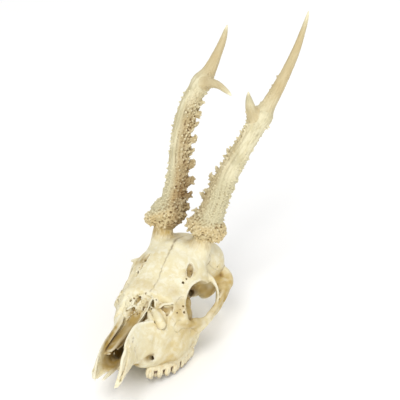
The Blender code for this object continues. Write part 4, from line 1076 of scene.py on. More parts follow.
def tooth_material(look):
    material, tree, shader, place = fresh_material("Tooth enamel")
    colour = layered(tree, tinted(look.enamel), [
        (patches(tree, place, 260.0, 0.4, 0.7), look.enamel_warm),
        (attribute(tree, "worn"), look.enamel_grey),
        # Painted shade in the gaps between the teeth
        (ramped(tree, attribute(tree, "hollow_fine"), 0.52, 0.66), look.enamel_gap_shade),
    ])
    fine = node(tree, "ShaderNodeTexNoise", {"Vector": place, "Scale": 1500.0, "Detail": 3.0}).outputs["Fac"]
    fill(tree, shader, {"Base Color": colour, "Roughness": 0.32, "Normal": bump(tree, fine, 0.2, 0.0002)})
    return material


# ------------------------------------------------------------ skull bones


def both(rows):
    return rows, mirrored(rows)


def pair(centre):
    return centre, (-centre[0], *centre[1:])


def add_bars(field, shape, more=1.0):
    blend, rows = shape
    for side in both(rows):
        field.add(field.bar(side, blend + more), blend)


def add_balls(field, shape):
    blend, centre, radii = shape
    for place in pair(centre):
        field.add(field.ball(place, radii, blend + 1.0), blend)


def cut_bars(field, shape):
    blend, rows = shape
    for side in both(rows):
        field.cut(field.bar(side, blend + 1.0), blend)


def remaining(shapes, done):
    return [shape for name, shape in shapes.items() if name not in done]


def skull_field(voxel):
    """All the bones as one body, before it is parted."""
    field = Field(*SKULL_BOX, voxel)
    for sections, blend in ((SNOUT, 1.0), (CORE, 4.0), (FOREHEAD, 4.0), (BRAINCASE, 7.0)):
        field.add(field.loft(sections, blend + 2.0), blend)
    field.add(field.bar(SKULL_BASE, 6.0), 4.0)
    add_bars(field, PAIRED_BARS["pedicle"], 2.0)
    first_balls, first_cuts = ("parietal", "tooth_root_bulge"), ("facial_hollow", "temple_hollow")
    for name in first_balls:
        add_balls(field, PAIRED_BALLS[name])
    for name in first_cuts:
        cut_bars(field, PAIRED_CUTS[name])
    field.cut(field.loft(NASAL_HOLLOW, 3.0), 0.8)
    field.cut(field.loft(PALATE, 3.0), 1.5)
    field.cut(field.ball(*FORAMEN_MAGNUM, 3.0), 1.0)
    for centre, radii in (ORBIT, CHOANA):
        for place in pair(centre):
            field.cut(field.ball(place, radii, 3.0), 1.2)
    for shape in remaining(PAIRED_BARS, ("pedicle",)):
        add_bars(field, shape)
    field.add(field.bar(ROD, 2.2), 1.2)
    field.add(field.bar(RIGHT_CORNER, 2.5), 1.5)
    field.cut(field.ball(*BROKEN_TIP, 2.0), 0.5)
    for shape in remaining(PAIRED_BALLS, first_balls):
        add_balls(field, shape)
    for shape in remaining(PAIRED_CUTS, first_cuts):
        cut_bars(field, shape)
    fill_nose(field)
    for blend, first, last, rows in PAIRED_PITS.values():
        for side in both(rows):
            field.pit(blend, first, last, side)
    for pit in SINGLE_PITS:
        field.pit(*pit)
    for number, edge in enumerate(CRUMBLED):
        field.crumble(*edge, seed=60 + number)
    for number, area in enumerate(SPONGY_GROOVES):
        field.make_spongy(*area, seed=90 + number)
    return field


def fill_nose(field):
    """The spongy root of the nose, and the scrolls and plates that the missing nasal bones leave open."""
    field.add(field.loft(NOSE_MASS, 3.0), 1.5)
    for cell in NOSE_CELLS:
        field.pit(*cell)
    for number, area in enumerate(SPONGY):
        field.make_spongy(*area, seed=80 + number)
    for (_, sign), side in zip(SIDES, both(LACRIMAL)):
        field.add(field.bar(side, 3.0, breadth=(0.5 * sign, 0.85, 0.1)), 2.0)
    for blend, across, rows in NOSE_PLATES.values():
        field.add(field.bar(rows, blend + 1.0, breadth=across), blend)
    for blend, rows in NOSE_LOBES:
        field.add(field.bar(rows, blend + 1.0, step=1.0), blend)


def bone_regions(field):
    """For each bone, a field that is below zero where the bone is; the borders run as sutures do."""
    _, (x, y, z) = field.window(field.low, field.low + field.voxel * np.array(field.value.shape))
    wave = 0.5 * np.sin(1.1 * x + 0.6 * z) + 0.3 * np.sin(2.3 * z - 0.9 * y)
    # Above zero in the braincase, in the forehead (against the upper jaw), and in the two muzzle bones
    rear = np.minimum((y - 52.5 - 0.25 * (z - 95.0)) / 1.03 + wave, 93.0 - z)
    upper = (z - 61.0 + 0.22 * (y + 27.0)) / 1.02 + wave
    front = -(y + 84.0 + 0.22 * (z - 34.0)) / 1.02 + wave
    cheeks = {}
    for (side, sign), tongue in zip(SIDES, both(CHEEK_TONGUE)):
        part, near = field.bar(tongue, 8.0)
        out = np.full(field.value.shape, FAR, np.float32)
        out[part] = near
        out = np.minimum(35.0 - sign * x, out)
        cheeks[side] = np.maximum(out, y - 50.0 + 0.8 * (z - 48.0)).astype(np.float32)
    cheek = np.minimum(cheeks["left"], cheeks["right"])
    return {
        "braincase": np.maximum(-rear, -cheek),
        "forehead": np.maximum(np.maximum(rear, -upper), -cheek),
        "upper_jaw": np.maximum(np.maximum(rear, upper), np.maximum(front, -cheek)),
        "cheekbone_left": cheeks["left"],
        "cheekbone_right": cheeks["right"],
        "muzzle_left": np.maximum(-front, -x),
        "muzzle_right": np.maximum(-front, x),
    }


def suture_lines():
    lines = [(0.45, 0.42, MEDIAN_SUTURE), (0.35, 0.36, SAGITTAL_SUTURE)]
    for depth, half, rows in PAIRED_SUTURES.values():
        lines += [(depth, half, side) for side in both(rows)]
    return lines


def near_mask(points, centre, radii, soft):
    """1 within an ellipsoid and 0 outside, with a border that is soft for so many radii to both sides."""
    reach = np.sqrt((((points - np.array(centre)) / np.array(radii)) ** 2).sum(1))
    return rising(reach, 1.0 + soft, -2 * soft)


def area_mask(points, areas, soft):
    """For each point the largest amount of the areas that it lies in."""
    found = np.zeros(len(points))
    for centre, radii, *amounts in areas:
        for place, amount in zip(pair(centre), amounts):
            found = np.maximum(found, amount * near_mask(points, place, radii, soft))
    return found


def smooth_border(mesh, way, gap, region_gap):
    """Shades the two sides of a joint as one surface, by the way out of the whole body."""
    normals = normals_of(mesh)
    border = (np.abs(gap) < 0.45) & (np.abs(region_gap) < 0.6)
    normals[border] = way[border]
    mesh.normals_split_custom_set_from_vertices(normals.tolist())


def sharpen_edge(points, field, region):
    """Moves the points that the grid has cut off the edge of a joint back to the edge."""
    region_gap = field.sample(region, points, 1)
    gap = field.sample(field.value, points, 1)
    corner = (gap < -0.02) & (gap > -0.5) & (region_gap < -0.02) & (region_gap > -0.5)
    edge = points[corner]
    edge -= gap[corner, None] * field.slope(edge) + region_gap[corner, None] * field.slope(edge, region)
    points[corner] = edge


def nose_stain_and_shade(points, way):
    """Stain and painted shade on the inward walls and the floor of the nasal hollow, and the share of it near
    the middle.
    """
    x, y, z = points.T
    facing = clipped(0.95 - 1.8 * way[:, 0] * np.sign(x))
    middle = clipped((11.0 - np.abs(x)) * 0.7) * rising(y, -94.0, 6.0)
    stain = near_mask(points, (0.0, -72.0, 38.0), (17.0, 46.0, 30.0), 0.12) * (y < -38.0)
    stain *= np.maximum(facing, middle) * rising(z, np.where(x < 0.0, 61.0, 56.0), -9.0)
    stain *= 0.3 + 0.7 * rising(y, -95.0, 9.0)
    return stain, middle


def pedicle_streaks_and_shadow(points):
    """Thin dirty streaks that run down the fronts of the pedicles, stronger on the right, where they also
    paint the coronet's shadow.
    """
    streaks = value_noise(points * (1.0, 0.35, 0.16), 0.9, seed=33)
    streaks *= near_mask(points * (0.0, 1.0, 1.0), (0.0, 40.0, 97.0), (1.0, 12.0, 9.0), 0.6)
    return streaks * (np.abs(points[:, 0]) > 6.0) * np.where(points[:, 0] < 0.0, 1.3, 1.0)


def dress_bone(item, field, wide, fine, region):
    """Sutures, unevenness and pores pressed into the surface, and the masks that the bone's finish reads."""
    mesh = item.data
    points = points_of(mesh)
    sharpen_edge(points, field, region)
    region_gap = field.sample(region, points, 1)
    gap = field.sample(field.value, points, 1)
    sutures = engrave(points, suture_lines(), field)
    uneven = 0.16 * value_noise(points, 9.0, seed=3) + 0.07 * value_noise(points, 3.1, seed=5)
    porous = area_mask(points, POROUS_AREAS, 0.35)
    pits = clipped(value_noise(points, 1.5, seed=21) - 0.25) * porous
    way = field.slope(points)
    shift = (uneven - sutures - 1.3 * pits) * clipped(2.0 - np.abs(gap))
    set_points(mesh, points + way * shift[:, None])
    smooth_border(mesh, way, gap, region_gap)
    inner, middle = nose_stain_and_shade(points, way)
    streaks = pedicle_streaks_and_shadow(points)
    # Dark: dirt in the sutures, and painted shade in deep holes, on the right pedicle and in the middle of
    # the nose
    dark = np.maximum(np.clip(1.6 * sutures, 0.0, 0.75), area_mask(points, SHADED_HOLES, 0.6))
    dark = np.maximum.reduce([dark, 0.5 * clipped(streaks), 0.22 * inner * middle])
    # Stains, and painted shade in the orbits, under the arches, low on the sides and inside the nose
    stain = np.maximum(area_mask(points, STAINS_AND_SHADE, 0.6), inner)
    stain = stain * (0.9 + 0.4 * value_noise(points, 4.0, seed=31)) + 0.4 * np.abs(streaks)
    # Hollowness masks that the material turns into painted shade; pits deepen the fine one
    set_mask(mesh, "hollow_wide", field.sample(wide, points))
    set_mask(mesh, "hollow_fine", field.sample(fine, points) + 0.5 * pits)
    set_mask(mesh, "dark", dark)
    set_mask(mesh, "stain", clipped(stain))
    set_mask(mesh, "porous", clipped(0.3 + porous))


# ------------------------------------------------------------ teeth


def tooth_field(sign, voxel):
    """The six cheek teeth of one side, each made on its own and then joined at the gum."""
    rows = np.array([tooth[:3] for tooth in TEETH])
    low = rows.min(0) - (9.0, 9.0, 3.0)
    high = rows.max(0) + (9.0, 9.0, 14.0)
    if sign < 0:
        low[0], high[0] = -high[0], -low[0]
    field = Field(low, high, voxel)
    for x, y, tip, length, width, lobes in TEETH:
        lobe = length / lobes
        own = Field(low, high, voxel)
        for number in range(lobes):
            add_lobe(own, sign, x, y + (number - (lobes - 1) / 2) * lobe, tip, lobe, width)
        part, _ = field.window((-90.0, y - length, -20.0), (90.0, y + length, 30.0))
        field.value[part] = soft_min(field.value[part], own.value[part], 0.25)
    gum = [(sign * x, y, tip + CROWN + 1.0, 0.4 * width) for x, y, tip, _, width, _ in TEETH]
    field.add(field.bar(gum, 2.0), 1.0)
    return field


def add_lobe(field, sign, x, y, tip, lobe, width):
    """One lobe: a rounded inner body, an outer wall with a rib, and a crescent worn between two cusps."""

    def at(across, along, up, *radius):
        return (sign * (x + across * width), y + along * lobe, tip + up, *radius)

    field.add(field.ball(at(-0.14, 0.0, 5.8), (0.38 * width, 0.5 * lobe, 5.4), 2.0), 0.8)
    field.add(field.ball(at(0.24, 0.0, 5.4), (0.24 * width, 0.53 * lobe, 5.4), 2.0), 0.8)
    for blend, rows in LOBE_RIDGES:
        field.add(field.bar([at(*row) for row in rows], 1.5), blend)
    field.cut(field.bar([at(*row) for row in LOBE_VALLEY], 1.5, step=0.7), 0.4)
    for along in (-0.5, 0.5):
        field.cut(field.ball(at(0.1, along, -0.6), (0.6 * width, 0.12 * lobe, 2.7), 1.5), 0.4)


def dress_tooth(item, field):
    """A little unevenness, and the masks that the enamel's finish reads."""
    mesh = item.data
    points = points_of(mesh)
    line = smooth_line([tooth[:3] for tooth in TEETH], 1.0)
    order = np.argsort(line[:, 1])
    rise = points[:, 2] - np.interp(points[:, 1], line[order, 1], line[order, 2])
    worn = rising(rise, 4.6, -3.4) * (0.62 + 0.45 * value_noise(points, 1.6, seed=8))
    set_mask(mesh, "worn", clipped(worn))
    set_mask(mesh, "hollow_fine", field.sample(field.hollowness(0.9), points))
    set_points(mesh, points + normals_of(mesh) * (0.1 * value_noise(points, 1.7, seed=9))[:, None])


# ------------------------------------------------------------ antlers


def across_of(way):
    """Two directions at right angles to a way and to each other, the first as near to x as it can be."""
    side = np.array((1.0, 0.0, 0.0)) - way * way[0]
    side /= np.linalg.norm(side)
    return side, np.cross(way, side)


def beam_place(points, rows):
    """For each point: share of the way along the line, millimetres along it, turn about it, and gap to it."""
    line = smooth_line(rows, 2.0)
    ways = np.diff(line[:, :3], axis=0)
    lengths = np.linalg.norm(ways, axis=1)
    ways /= lengths[:, None]
    start = np.concatenate([[0.0], np.cumsum(lengths)])
    best = np.full(len(points), 1e9)
    along, turn = np.zeros(len(points)), np.zeros(len(points))
    for index, way in enumerate(ways):
        offset = points - line[index, :3]
        t = np.clip(offset @ way, 0.0, lengths[index])
        across = offset - t[:, None] * way
        distance = np.linalg.norm(across, axis=1) - line[index, 3]
        side, other = across_of(way)
        nearer = distance < best
        best[nearer] = distance[nearer]
        along[nearer] = (start[index] + t)[nearer]
        turn[nearer] = np.arctan2(across @ other, across @ side)[nearer]
    return along / start[-1], along, turn, best


def knob_rows(beam, place, turn, size):
    """A stout thorn that leaves the beam at a turn about it and bends upwards."""
    line = smooth_line(beam, 1.0)
    index = min(int(place * (len(line) - 1)), len(line) - 2)
    here = line[index]
    way = line[index + 1, :3] - here[:3]
    way /= np.linalg.norm(way)
    side, other = across_of(way)
    angle = math.radians(turn)
    out = math.cos(angle) * side + math.sin(angle) * other
    rows = []
    for share, rise, thick in KNOB:
        point = here[:3] + out * (here[3] + share * size) + way * rise * size
        rows.append((*point, thick * size * 0.72))
    return rows


def antler_core(plan, voxel):
    """The antler without its pearls, the middle of its foot, and the way up from there."""
    lines = [plan["beam"], plan["point"], plan["tine"]]
    rows = np.array([row for line in lines for row in line])
    low = rows[:, :3].min(0) - (19.0, 19.0, 9.0)
    high = rows[:, :3].max(0) + (19.0, 19.0, 5.0)
    field = Field(low, high, voxel)
    for line in lines:
        field.add(field.bar(line, 7.0), 5.0)
    centre, lean = plan["seat"]
    centre = np.array(centre)
    tilt = np.array(Matrix.Rotation(math.radians(lean), 3, "Y"))
    nod = tilt @ np.array(Matrix.Rotation(math.radians(-plan["front_lift"]), 3, "X"))

    def on_ring(angle, radius, height):
        return centre + nod @ np.array((radius * math.cos(angle), radius * math.sin(angle), height))

    ring = []
    for number in range(CORONET_STEPS + 1):
        angle = 2 * math.pi * number / CORONET_STEPS
        radius = CORONET_RADIUS * (1.0 + 0.05 * math.sin(3 * angle + 1.0))
        thickness = CORONET_THICKNESS + 0.7 * math.sin(2.6 * number)
        ring.append((*on_ring(angle, radius, CORONET_HEIGHT), thickness))
    field.add(field.bar(ring, 5.0), 3.5)
    for angle, radius, height, size in plan["lumps"]:
        point = on_ring(math.radians(angle), radius, height)
        field.add(field.ball(point, (size, size, 0.9 * size), 4.0), 2.5)
    up = tilt @ np.array((0.0, 0.0, 1.0))
    foot = [(*(centre + up * height), radius) for height, radius in FOOT]
    field.add(field.bar(foot, 5.0), 3.0)
    for part in ("beam", "point"):
        for knob in plan[f"{part}_knobs"]:
            field.add(field.bar(knob_rows(plan[part], *knob), 2.5, step=1.0), 0.8)
    return field, centre, up


class AntlerPlace:
    """Where each of some points is on an antler."""

    def __init__(self, points, plan, centre, up):
        found = [beam_place(points, plan[name]) for name in ("beam", "point", "tine")]
        part = np.argmin([gap for *_, gap in found], axis=0)
        self.on_beam, self.on_point, self.on_tine = (part == k for k in range(3))
        self.share, self.along, self.turn = (np.choose(part, [place[k] for place in found]) for k in range(3))
        self.beam_share, _, beam_turn, _ = found[0]
        self.towards = plan["side"] * np.cos(beam_turn)  # 1 on the side that faces the other antler
        self.above = (points - centre) @ up
        self.outer = np.where(self.on_beam, 0.0, self.share)  # 0 on the beam, 1 at the tips
        self.shaft = rising(self.above, 11.0, 12.0)


def ridged(place):
    """Fine ridges that run along the antler, and a few long furrows between them."""
    zero = 0.0 * place.along
    drift = 0.5 * value_noise(np.stack([place.along, zero, zero], 1), 30.0, seed=4)
    depth = np.zeros(len(zero))
    for turn, width, deep in FURROWS:
        gap = np.angle(np.exp(1j * (place.turn - turn - drift)))
        run = 0.6 + 0.4 * value_noise(np.stack([place.along, zero + 40 * turn, zero], 1), 15.0, seed=6)
        depth += deep * run * np.exp(-((gap / width) ** 2))
    round_about = np.stack([0.1 * place.along, 7.0 * np.cos(place.turn), 7.0 * np.sin(place.turn)], 1)
    fine = 0.22 * value_noise(round_about, 1.5, seed=14) + 0.12 * value_noise(round_about, 0.8, seed=15)
    return (fine - depth * (1.0 - 0.65 * place.outer)) * place.shaft


def mask_of(tree, name, kind="FLOAT"):
    return node(tree, "GeometryNodeInputNamedAttribute", {"Name": name}, data_type=kind).outputs["Attribute"]


def random_between(tree, low, high, seed):
    inputs = {2: low, 3: high, "Seed": seed}
    return node(tree, "FunctionNodeRandomValue", inputs, data_type="FLOAT").outputs[1]


def strewn_bodies(tree, given, kind, body, seed):
    """Copies of a body on the antler, as dense and as large as the masks of their kind say."""
    mask = kind.lower()
    inputs = {
        "Mesh": given["Geometry"],
        "Distance Min": given[f"{kind} spacing"],
        "Density Max": 4.0,
        "Density Factor": mask_of(tree, f"{mask}_share"),
        "Seed": given["Seed"],
    }
    places = node(tree, "GeometryNodeDistributePointsOnFaces", inputs, distribute_method="POISSON")
    way = {"Vector": mask_of(tree, "pearl_way", "FLOAT_VECTOR")}
    turn = node(tree, "FunctionNodeAlignRotationToVector", way, axis="Z").outputs[0]
    radius = random_between(tree, given[f"{kind} smallest"], given[f"{kind} largest"], given["Seed"])
    radius = product(tree, radius, mask_of(tree, f"{mask}_size"))
    height = product(tree, radius, random_between(tree, 1.0, given[f"{kind} height"], seed))
    scale = node(tree, "ShaderNodeCombineXYZ", {"X": radius, "Y": radius, "Z": height}).outputs[0]
    inputs = {"Points": places.outputs["Points"], "Instance": body, "Rotation": turn, "Scale": scale}
    return node(tree, "GeometryNodeInstanceOnPoints", inputs).outputs[0]


def pearl_tree():
    """Geometry nodes that strew fine granules and stout pearls over an antler."""
    tree = bpy.data.node_groups.new("Antler pearls", "GeometryNodeTree")
    sockets = [("Geometry", "Geometry"), *((name, "Float") for name in PEARL_INPUTS)]
    for name, kind in (*sockets, ("Seed", "Int"), ("Material", "Material")):
        tree.interface.new_socket(name, in_out="INPUT", socket_type=f"NodeSocket{kind}")
    tree.interface.new_socket("Geometry", in_out="OUTPUT", socket_type="NodeSocketGeometry")
    given = tree.nodes.new("NodeGroupInput").outputs
    ball = node(tree, "GeometryNodeMeshIcoSphere", {"Radius": 1.0, "Subdivisions": 2}).outputs[0]
    shape = {"Vertices": 8, "Side Segments": 2, "Radius Top": 0.42, "Radius Bottom": 1.0, "Depth": 1.35}
    cone = node(tree, "GeometryNodeMeshCone", shape).outputs["Mesh"]
    lowered = {"Geometry": cone, "Translation": (0.0, 0.0, -0.4)}
    thorn = node(tree, "GeometryNodeTransform", lowered).outputs[0]
    granules = strewn_bodies(tree, given, "Granule", ball, 5)
    pearls = strewn_bodies(tree, given, "Pearl", thorn, 9)
    joined = tree.nodes.new("GeometryNodeJoinGeometry")
    for part in (granules, pearls, given["Geometry"]):
        tree.links.new(part, joined.inputs[0])
    real = node(tree, "GeometryNodeRealizeInstances", {"Geometry": joined.outputs[0]}).outputs[0]
    last = node(tree, "GeometryNodeSetMaterial", {"Geometry": real, "Material": given["Material"]})
    tree.links.new(last.outputs[0], tree.nodes.new("NodeGroupOutput").inputs[0])
    return tree


def set_inputs(modifier, values):
    """Gives a Geometry Nodes modifier its named inputs."""
    for socket in modifier.node_group.interface.items_tree:
        if socket.in_out == "INPUT" and socket.name in values:
            modifier[socket.identifier] = values[socket.name]


def triangles_of(mesh):
    mesh.calc_loop_triangles()
    corners = np.empty(len(mesh.loop_triangles) * 3, np.int32)
    mesh.loop_triangles.foreach_get("vertices", corners)
    return corners.reshape(-1, 3)


def fused_field(mesh, voxel):
    """A field from a mesh of many overlapping closed bodies."""
    points = points_of(mesh)
    low, high = points.min(0) - 4 * voxel, points.max(0) + 4 * voxel
    field = Field(low, high, voxel)
    grid = openvdb.FloatGrid.createLevelSetFromPolygons(
        ((points - low) / voxel).astype(np.float32),
        triangles=triangles_of(mesh).astype(np.uint32),
        transform=openvdb.createLinearTransform(1.0),
        halfWidth=3.0,
    )
    value = np.empty(field.value.shape, np.float32)
    grid.copyToArray(value, ijk=(0, 0, 0))
    field.value = value * voxel
    return field


def strew_pearls(mesh, plan, centre, up):
    """Roughens the antler, and writes the shares, sizes and ways that its pearls are strewn by."""
    points, normals = points_of(mesh), normals_of(mesh)
    place = AntlerPlace(points, plan, centre, up)
    uneven = 0.3 * value_noise(points, 7.0, seed=2) + 0.14 * value_noise(points, 2.6, seed=3)
    shift = uneven * (1.0 - 0.8 * place.outer) + ridged(place)
    set_points(mesh, points + normals * shift[:, None])
    on_beam = place.on_beam * 1.0
    ring = rising(place.above, 12.5, -3.0)
    foot = rising(place.above, plan["granular"], -16.0)
    inner = rising(place.towards, plan["inner_from"], 0.35) * rising(place.beam_share, 1.06, -0.14)
    rim = rising(np.abs(place.towards + 0.9), 0.3, -0.12) * rising(place.beam_share, 1.0, -0.4)
    edge = rising(np.abs(place.towards - 0.75), 0.25, -0.1) * place.on_point * rising(place.share, 0.3, -0.1)
    beneath = rising(place.towards, 0.2, 0.4) * place.on_tine * rising(place.share, 0.42, -0.12)
    aside = np.linalg.norm(points - centre - place.above[:, None] * up, axis=1)
    clear_of_foot = np.maximum(rising(place.above, 0.2, 0.8), rising(aside, 9.6, 0.8))
    granules = np.maximum.reduce([
        ring, foot, 0.95 * inner * on_beam, 0.8 * rim * on_beam, 0.05 * on_beam * place.shaft,
        0.5 * edge, 0.8 * beneath,
    ])
    set_mask(mesh, "granule_share", granules * clear_of_foot)
    set_mask(mesh, "granule_size", 0.8 + 0.6 * ring + 0.15 * foot - 0.25 * place.outer)
    stout = [0.25 * ring, 0.45 * foot, plan["stout_inner"] * inner * on_beam, 0.5 * rim * on_beam]
    set_mask(mesh, "pearl_share", np.maximum.reduce(stout) * clear_of_foot)
    set_mask(mesh, "pearl_size", 0.8 + 0.25 * ring + 0.35 * inner * (1.0 - 0.5 * place.beam_share))
    beam = np.array(plan["beam"])[:, :3]
    climb = (beam[-1] - beam[0]) / np.linalg.norm(beam[-1] - beam[0])
    way = normals + climb * (0.6 * inner * place.shaft)[:, None]
    way += 0.35 * np.stack([value_noise(points + 9.0 * k, 2.2, seed=30 + k) for k in range(3)], axis=1)
    layer = mesh.attributes.new("pearl_way", "FLOAT_VECTOR", "POINT")
    layer.data.foreach_set("vector", way.astype(np.float32).ravel())


def dress_antler(mesh, field, plan, centre, up):
    """A little unevenness, and the masks that the antler's finish reads."""
    points, normals = points_of(mesh), normals_of(mesh)
    place = AntlerPlace(points, plan, centre, up)
    set_points(mesh, points + normals * (0.07 * value_noise(points, 1.2, seed=12))[:, None])
    patchy = 0.5 + 0.5 * value_noise(points, 6.0, seed=17)
    ring = rising(place.above, 13.0, -4.0)
    foot = rising(place.above, plan["granular"] + 4.0, -14.0) * (1.0 - ring)
    low = rising(place.beam_share, 0.5, -0.3)
    inner = rising(place.towards - plan["inner_from"], -0.15, 0.5) * place.on_beam
    inner *= rising(place.beam_share, 1.0, -0.3) * rising(place.above, 8.0, 10.0)
    facing = rising(place.towards, 0.4, 0.35) * place.on_beam
    point = place.on_point * rising(place.share, 0.0, 0.2) * rising(place.share, 0.97, -0.2)
    tine = place.on_tine * rising(place.share, 1.15 - plan["tine_pale"], -0.35)
    tine *= rising(place.share, 0.0, 0.15)
    # Brown on the pearled inner side: its own colour, made stronger low down as painted shade
    brown = plan["brown"] * (1.0 + 0.5 * low) * inner * (0.6 + 0.5 * patchy)
    masks = {
        "hollow_fine": field.sample(field.hollowness(0.9), points),
        "hollow_wide": field.sample(field.hollowness(2.6), points),
        # Darker low on the side facing the other antler: partly its own colour, partly painted shade
        "sooty": plan["sooty"] * low * facing * (0.5 + 0.6 * patchy),
        "brown": clipped(brown),
        "golden": ring * (0.5 + 0.5 * patchy),
        # How strong the painted shade between the pearls is
        "deep": clipped(0.48 + 0.35 * ring + plan["brown"] * inner),
        "grey": clipped(foot * (0.7 + 0.4 * patchy)),
        # Ochre stain on the points and the tine, darkened to paint their shade too
        "stain": clipped((0.85 * point + 0.7 * tine) * (0.7 + 0.4 * patchy)),
        "tip": plan["tip"] * rising(place.outer, 0.9, 0.06),
        "around": 2.6 * place.turn,
        "along": place.along / 12.0,
    }
    for name, values in masks.items():
        set_mask(mesh, name, values)


def build_antler(side, settings, material):
    """An antler: its core, the pearls strewn over it, and both fused to one surface."""
    plan = ANTLERS[side]
    core, centre, up = antler_core(plan, CORE_VOXEL)
    item = piece_from(f"antler_{side}_core", *core.surface())
    strew_pearls(item.data, plan, centre, up)
    pearls = item.modifiers.new("Pearls", "NODES")
    pearls.node_group = bpy.data.node_groups.get("Antler pearls") or pearl_tree()
    values = {name: getattr(settings, name.lower().replace(" ", "_")) for name in PEARL_INPUTS}
    set_inputs(pearls, {**values, "Seed": settings.seed, "Material": material})
    bpy.context.view_layer.update()
    apply_modifiers(item)
    field = fused_field(item.data, settings.antler_voxel)
    bpy.data.objects.remove(item)
    field.soften(1)
    item = piece_from(f"antler_{side}", *field.surface())
    dress_antler(item.data, field, plan, centre, up)
    return item


# ------------------------------------------------------------ stage


def camera_axes():
    """Right, up and back of the camera, its place, and its zoom, in the skull's frame in millimetres."""
    azimuth, rise, roll = map(math.radians, (CAMERA_AZIMUTH, CAMERA_RISE, CAMERA_ROLL))
    back = Vector((math.sin(azimuth) * math.cos(rise), -math.cos(azimuth) * math.cos(rise), math.sin(rise)))
    right = (-back).cross(Vector((0.0, 0.0, 1.0))).normalized()
    up = right.cross(-back)
    turned_right = right * math.cos(roll) + up * math.sin(roll)
    turned_up = up * math.cos(roll) - right * math.sin(roll)
    place = CAMERA_TARGET + back * CAMERA_DISTANCE
    focal = ZOOM * CAMERA_DISTANCE
    # The target isn't in the middle of the picture, so that the camera looks past it
    across, down = (PICTURE / 2 - value for value in TARGET_IN_PICTURE)
    aim = -back * focal + turned_right * across - turned_up * down
    aim.normalize()
    right = (turned_right - aim * turned_right.dot(aim)).normalized()
    return right, right.cross(aim), -aim, place, focal


def add_camera():
    right, up, back, place, focal = camera_axes()
    lean = skull_frame()
    turn = lean.to_3x3().normalized() @ Matrix((right, up, back)).transposed()
    data = bpy.data.cameras.new("Camera")
    data.sensor_width = SENSOR
    data.lens = SENSOR * focal / PICTURE
    data.clip_start, data.clip_end = CLIP
    camera = bpy.data.objects.new("Camera", data)
    camera.matrix_world = Matrix.Translation(lean @ place) @ turn.to_4x4()
    bpy.context.scene.collection.objects.link(camera)
    bpy.context.scene.camera = camera


def add_light(name, place, size, colour, power):
    data = bpy.data.lights.new(name, "AREA")
    data.shape = "DISK"
    data.size, data.energy, data.color = size, power, colour
    light = bpy.data.objects.new(name, data)
    light.location = place
    light.rotation_euler = (Vector(LIGHT_AIM) - Vector(place)).to_track_quat("-Z", "Y").to_euler()
    bpy.context.scene.collection.objects.link(light)


def floor_material(colour):
    material, tree, shader, place = fresh_material("Pale floor")
    noise = node(tree, "ShaderNodeTexNoise", {"Vector": place, "Scale": 3.0, "Detail": 2.0}).outputs["Fac"]
    shade = layered(tree, tinted(colour), [(noise, [0.985 * value for value in colour])])
    fill(tree, shader, {"Base Color": shade, "Roughness": 0.9, "Specular IOR Level": 0.1})
    return material


# ------------------------------------------------------------ the add-on


def colour_property(name, description, default):
    return FloatVectorProperty(
        name=name, description=description, default=default, subtype="COLOR", size=3, min=0.0, max=1.0
    )


def number_property(name, description, default, **unit):
    return FloatProperty(name=name, description=description, default=default, min=0.0, **unit)


class SkullSettings(bpy.types.PropertyGroup):
    """Sizes and colours of the bones and teeth."""

    bone_voxel: number_property("Bone detail", "Grid step of the bones, in millimetres", 0.55)
    tooth_voxel: number_property("Tooth detail", "Grid step of the teeth, in millimetres", 0.28)
    bone: colour_property("Bone", "Main colour of the bone", (0.77, 0.712, 0.49))
    bone_warm: colour_property("Warm bone", "Yellower patches of the bone", (0.73, 0.637, 0.375))
    # Pale patches, and the painted highlight on edges
    bone_pale_and_highlight: colour_property("Pale bone", "Palest patches of the bone, and painted highlight on edges", (0.84, 0.81, 0.66))
    # Ochre for stains, and for painted shade in wide hollows
    bone_ochre_and_shade: colour_property("Ochre bone", "Ochre stains, and painted shade in wide hollows", (0.46, 0.315, 0.085))
    # Painted shade in hollows and pores
    bone_shade: colour_property("Bone shade", "Painted shade in hollows and pores", (0.22, 0.13, 0.05))
    # Dirt in sutures, and painted shade in deep holes
    bone_dark_and_shade: colour_property("Suture and shade", "Dirt in sutures and cracks, and painted shade in deep holes", (0.20, 0.13, 0.06))
    enamel: colour_property("Enamel", "Main colour of the teeth", (0.78, 0.71, 0.50))
    enamel_warm: colour_property("Warm enamel", "Yellower patches of the teeth", (0.72, 0.60, 0.36))
    enamel_grey: colour_property("Worn enamel", "Worn tips of the teeth", (0.34, 0.26, 0.15))
    # Painted shade between the teeth
    enamel_gap_shade: colour_property("Tooth gap shade", "Painted shade between the teeth", (0.16, 0.10, 0.06))


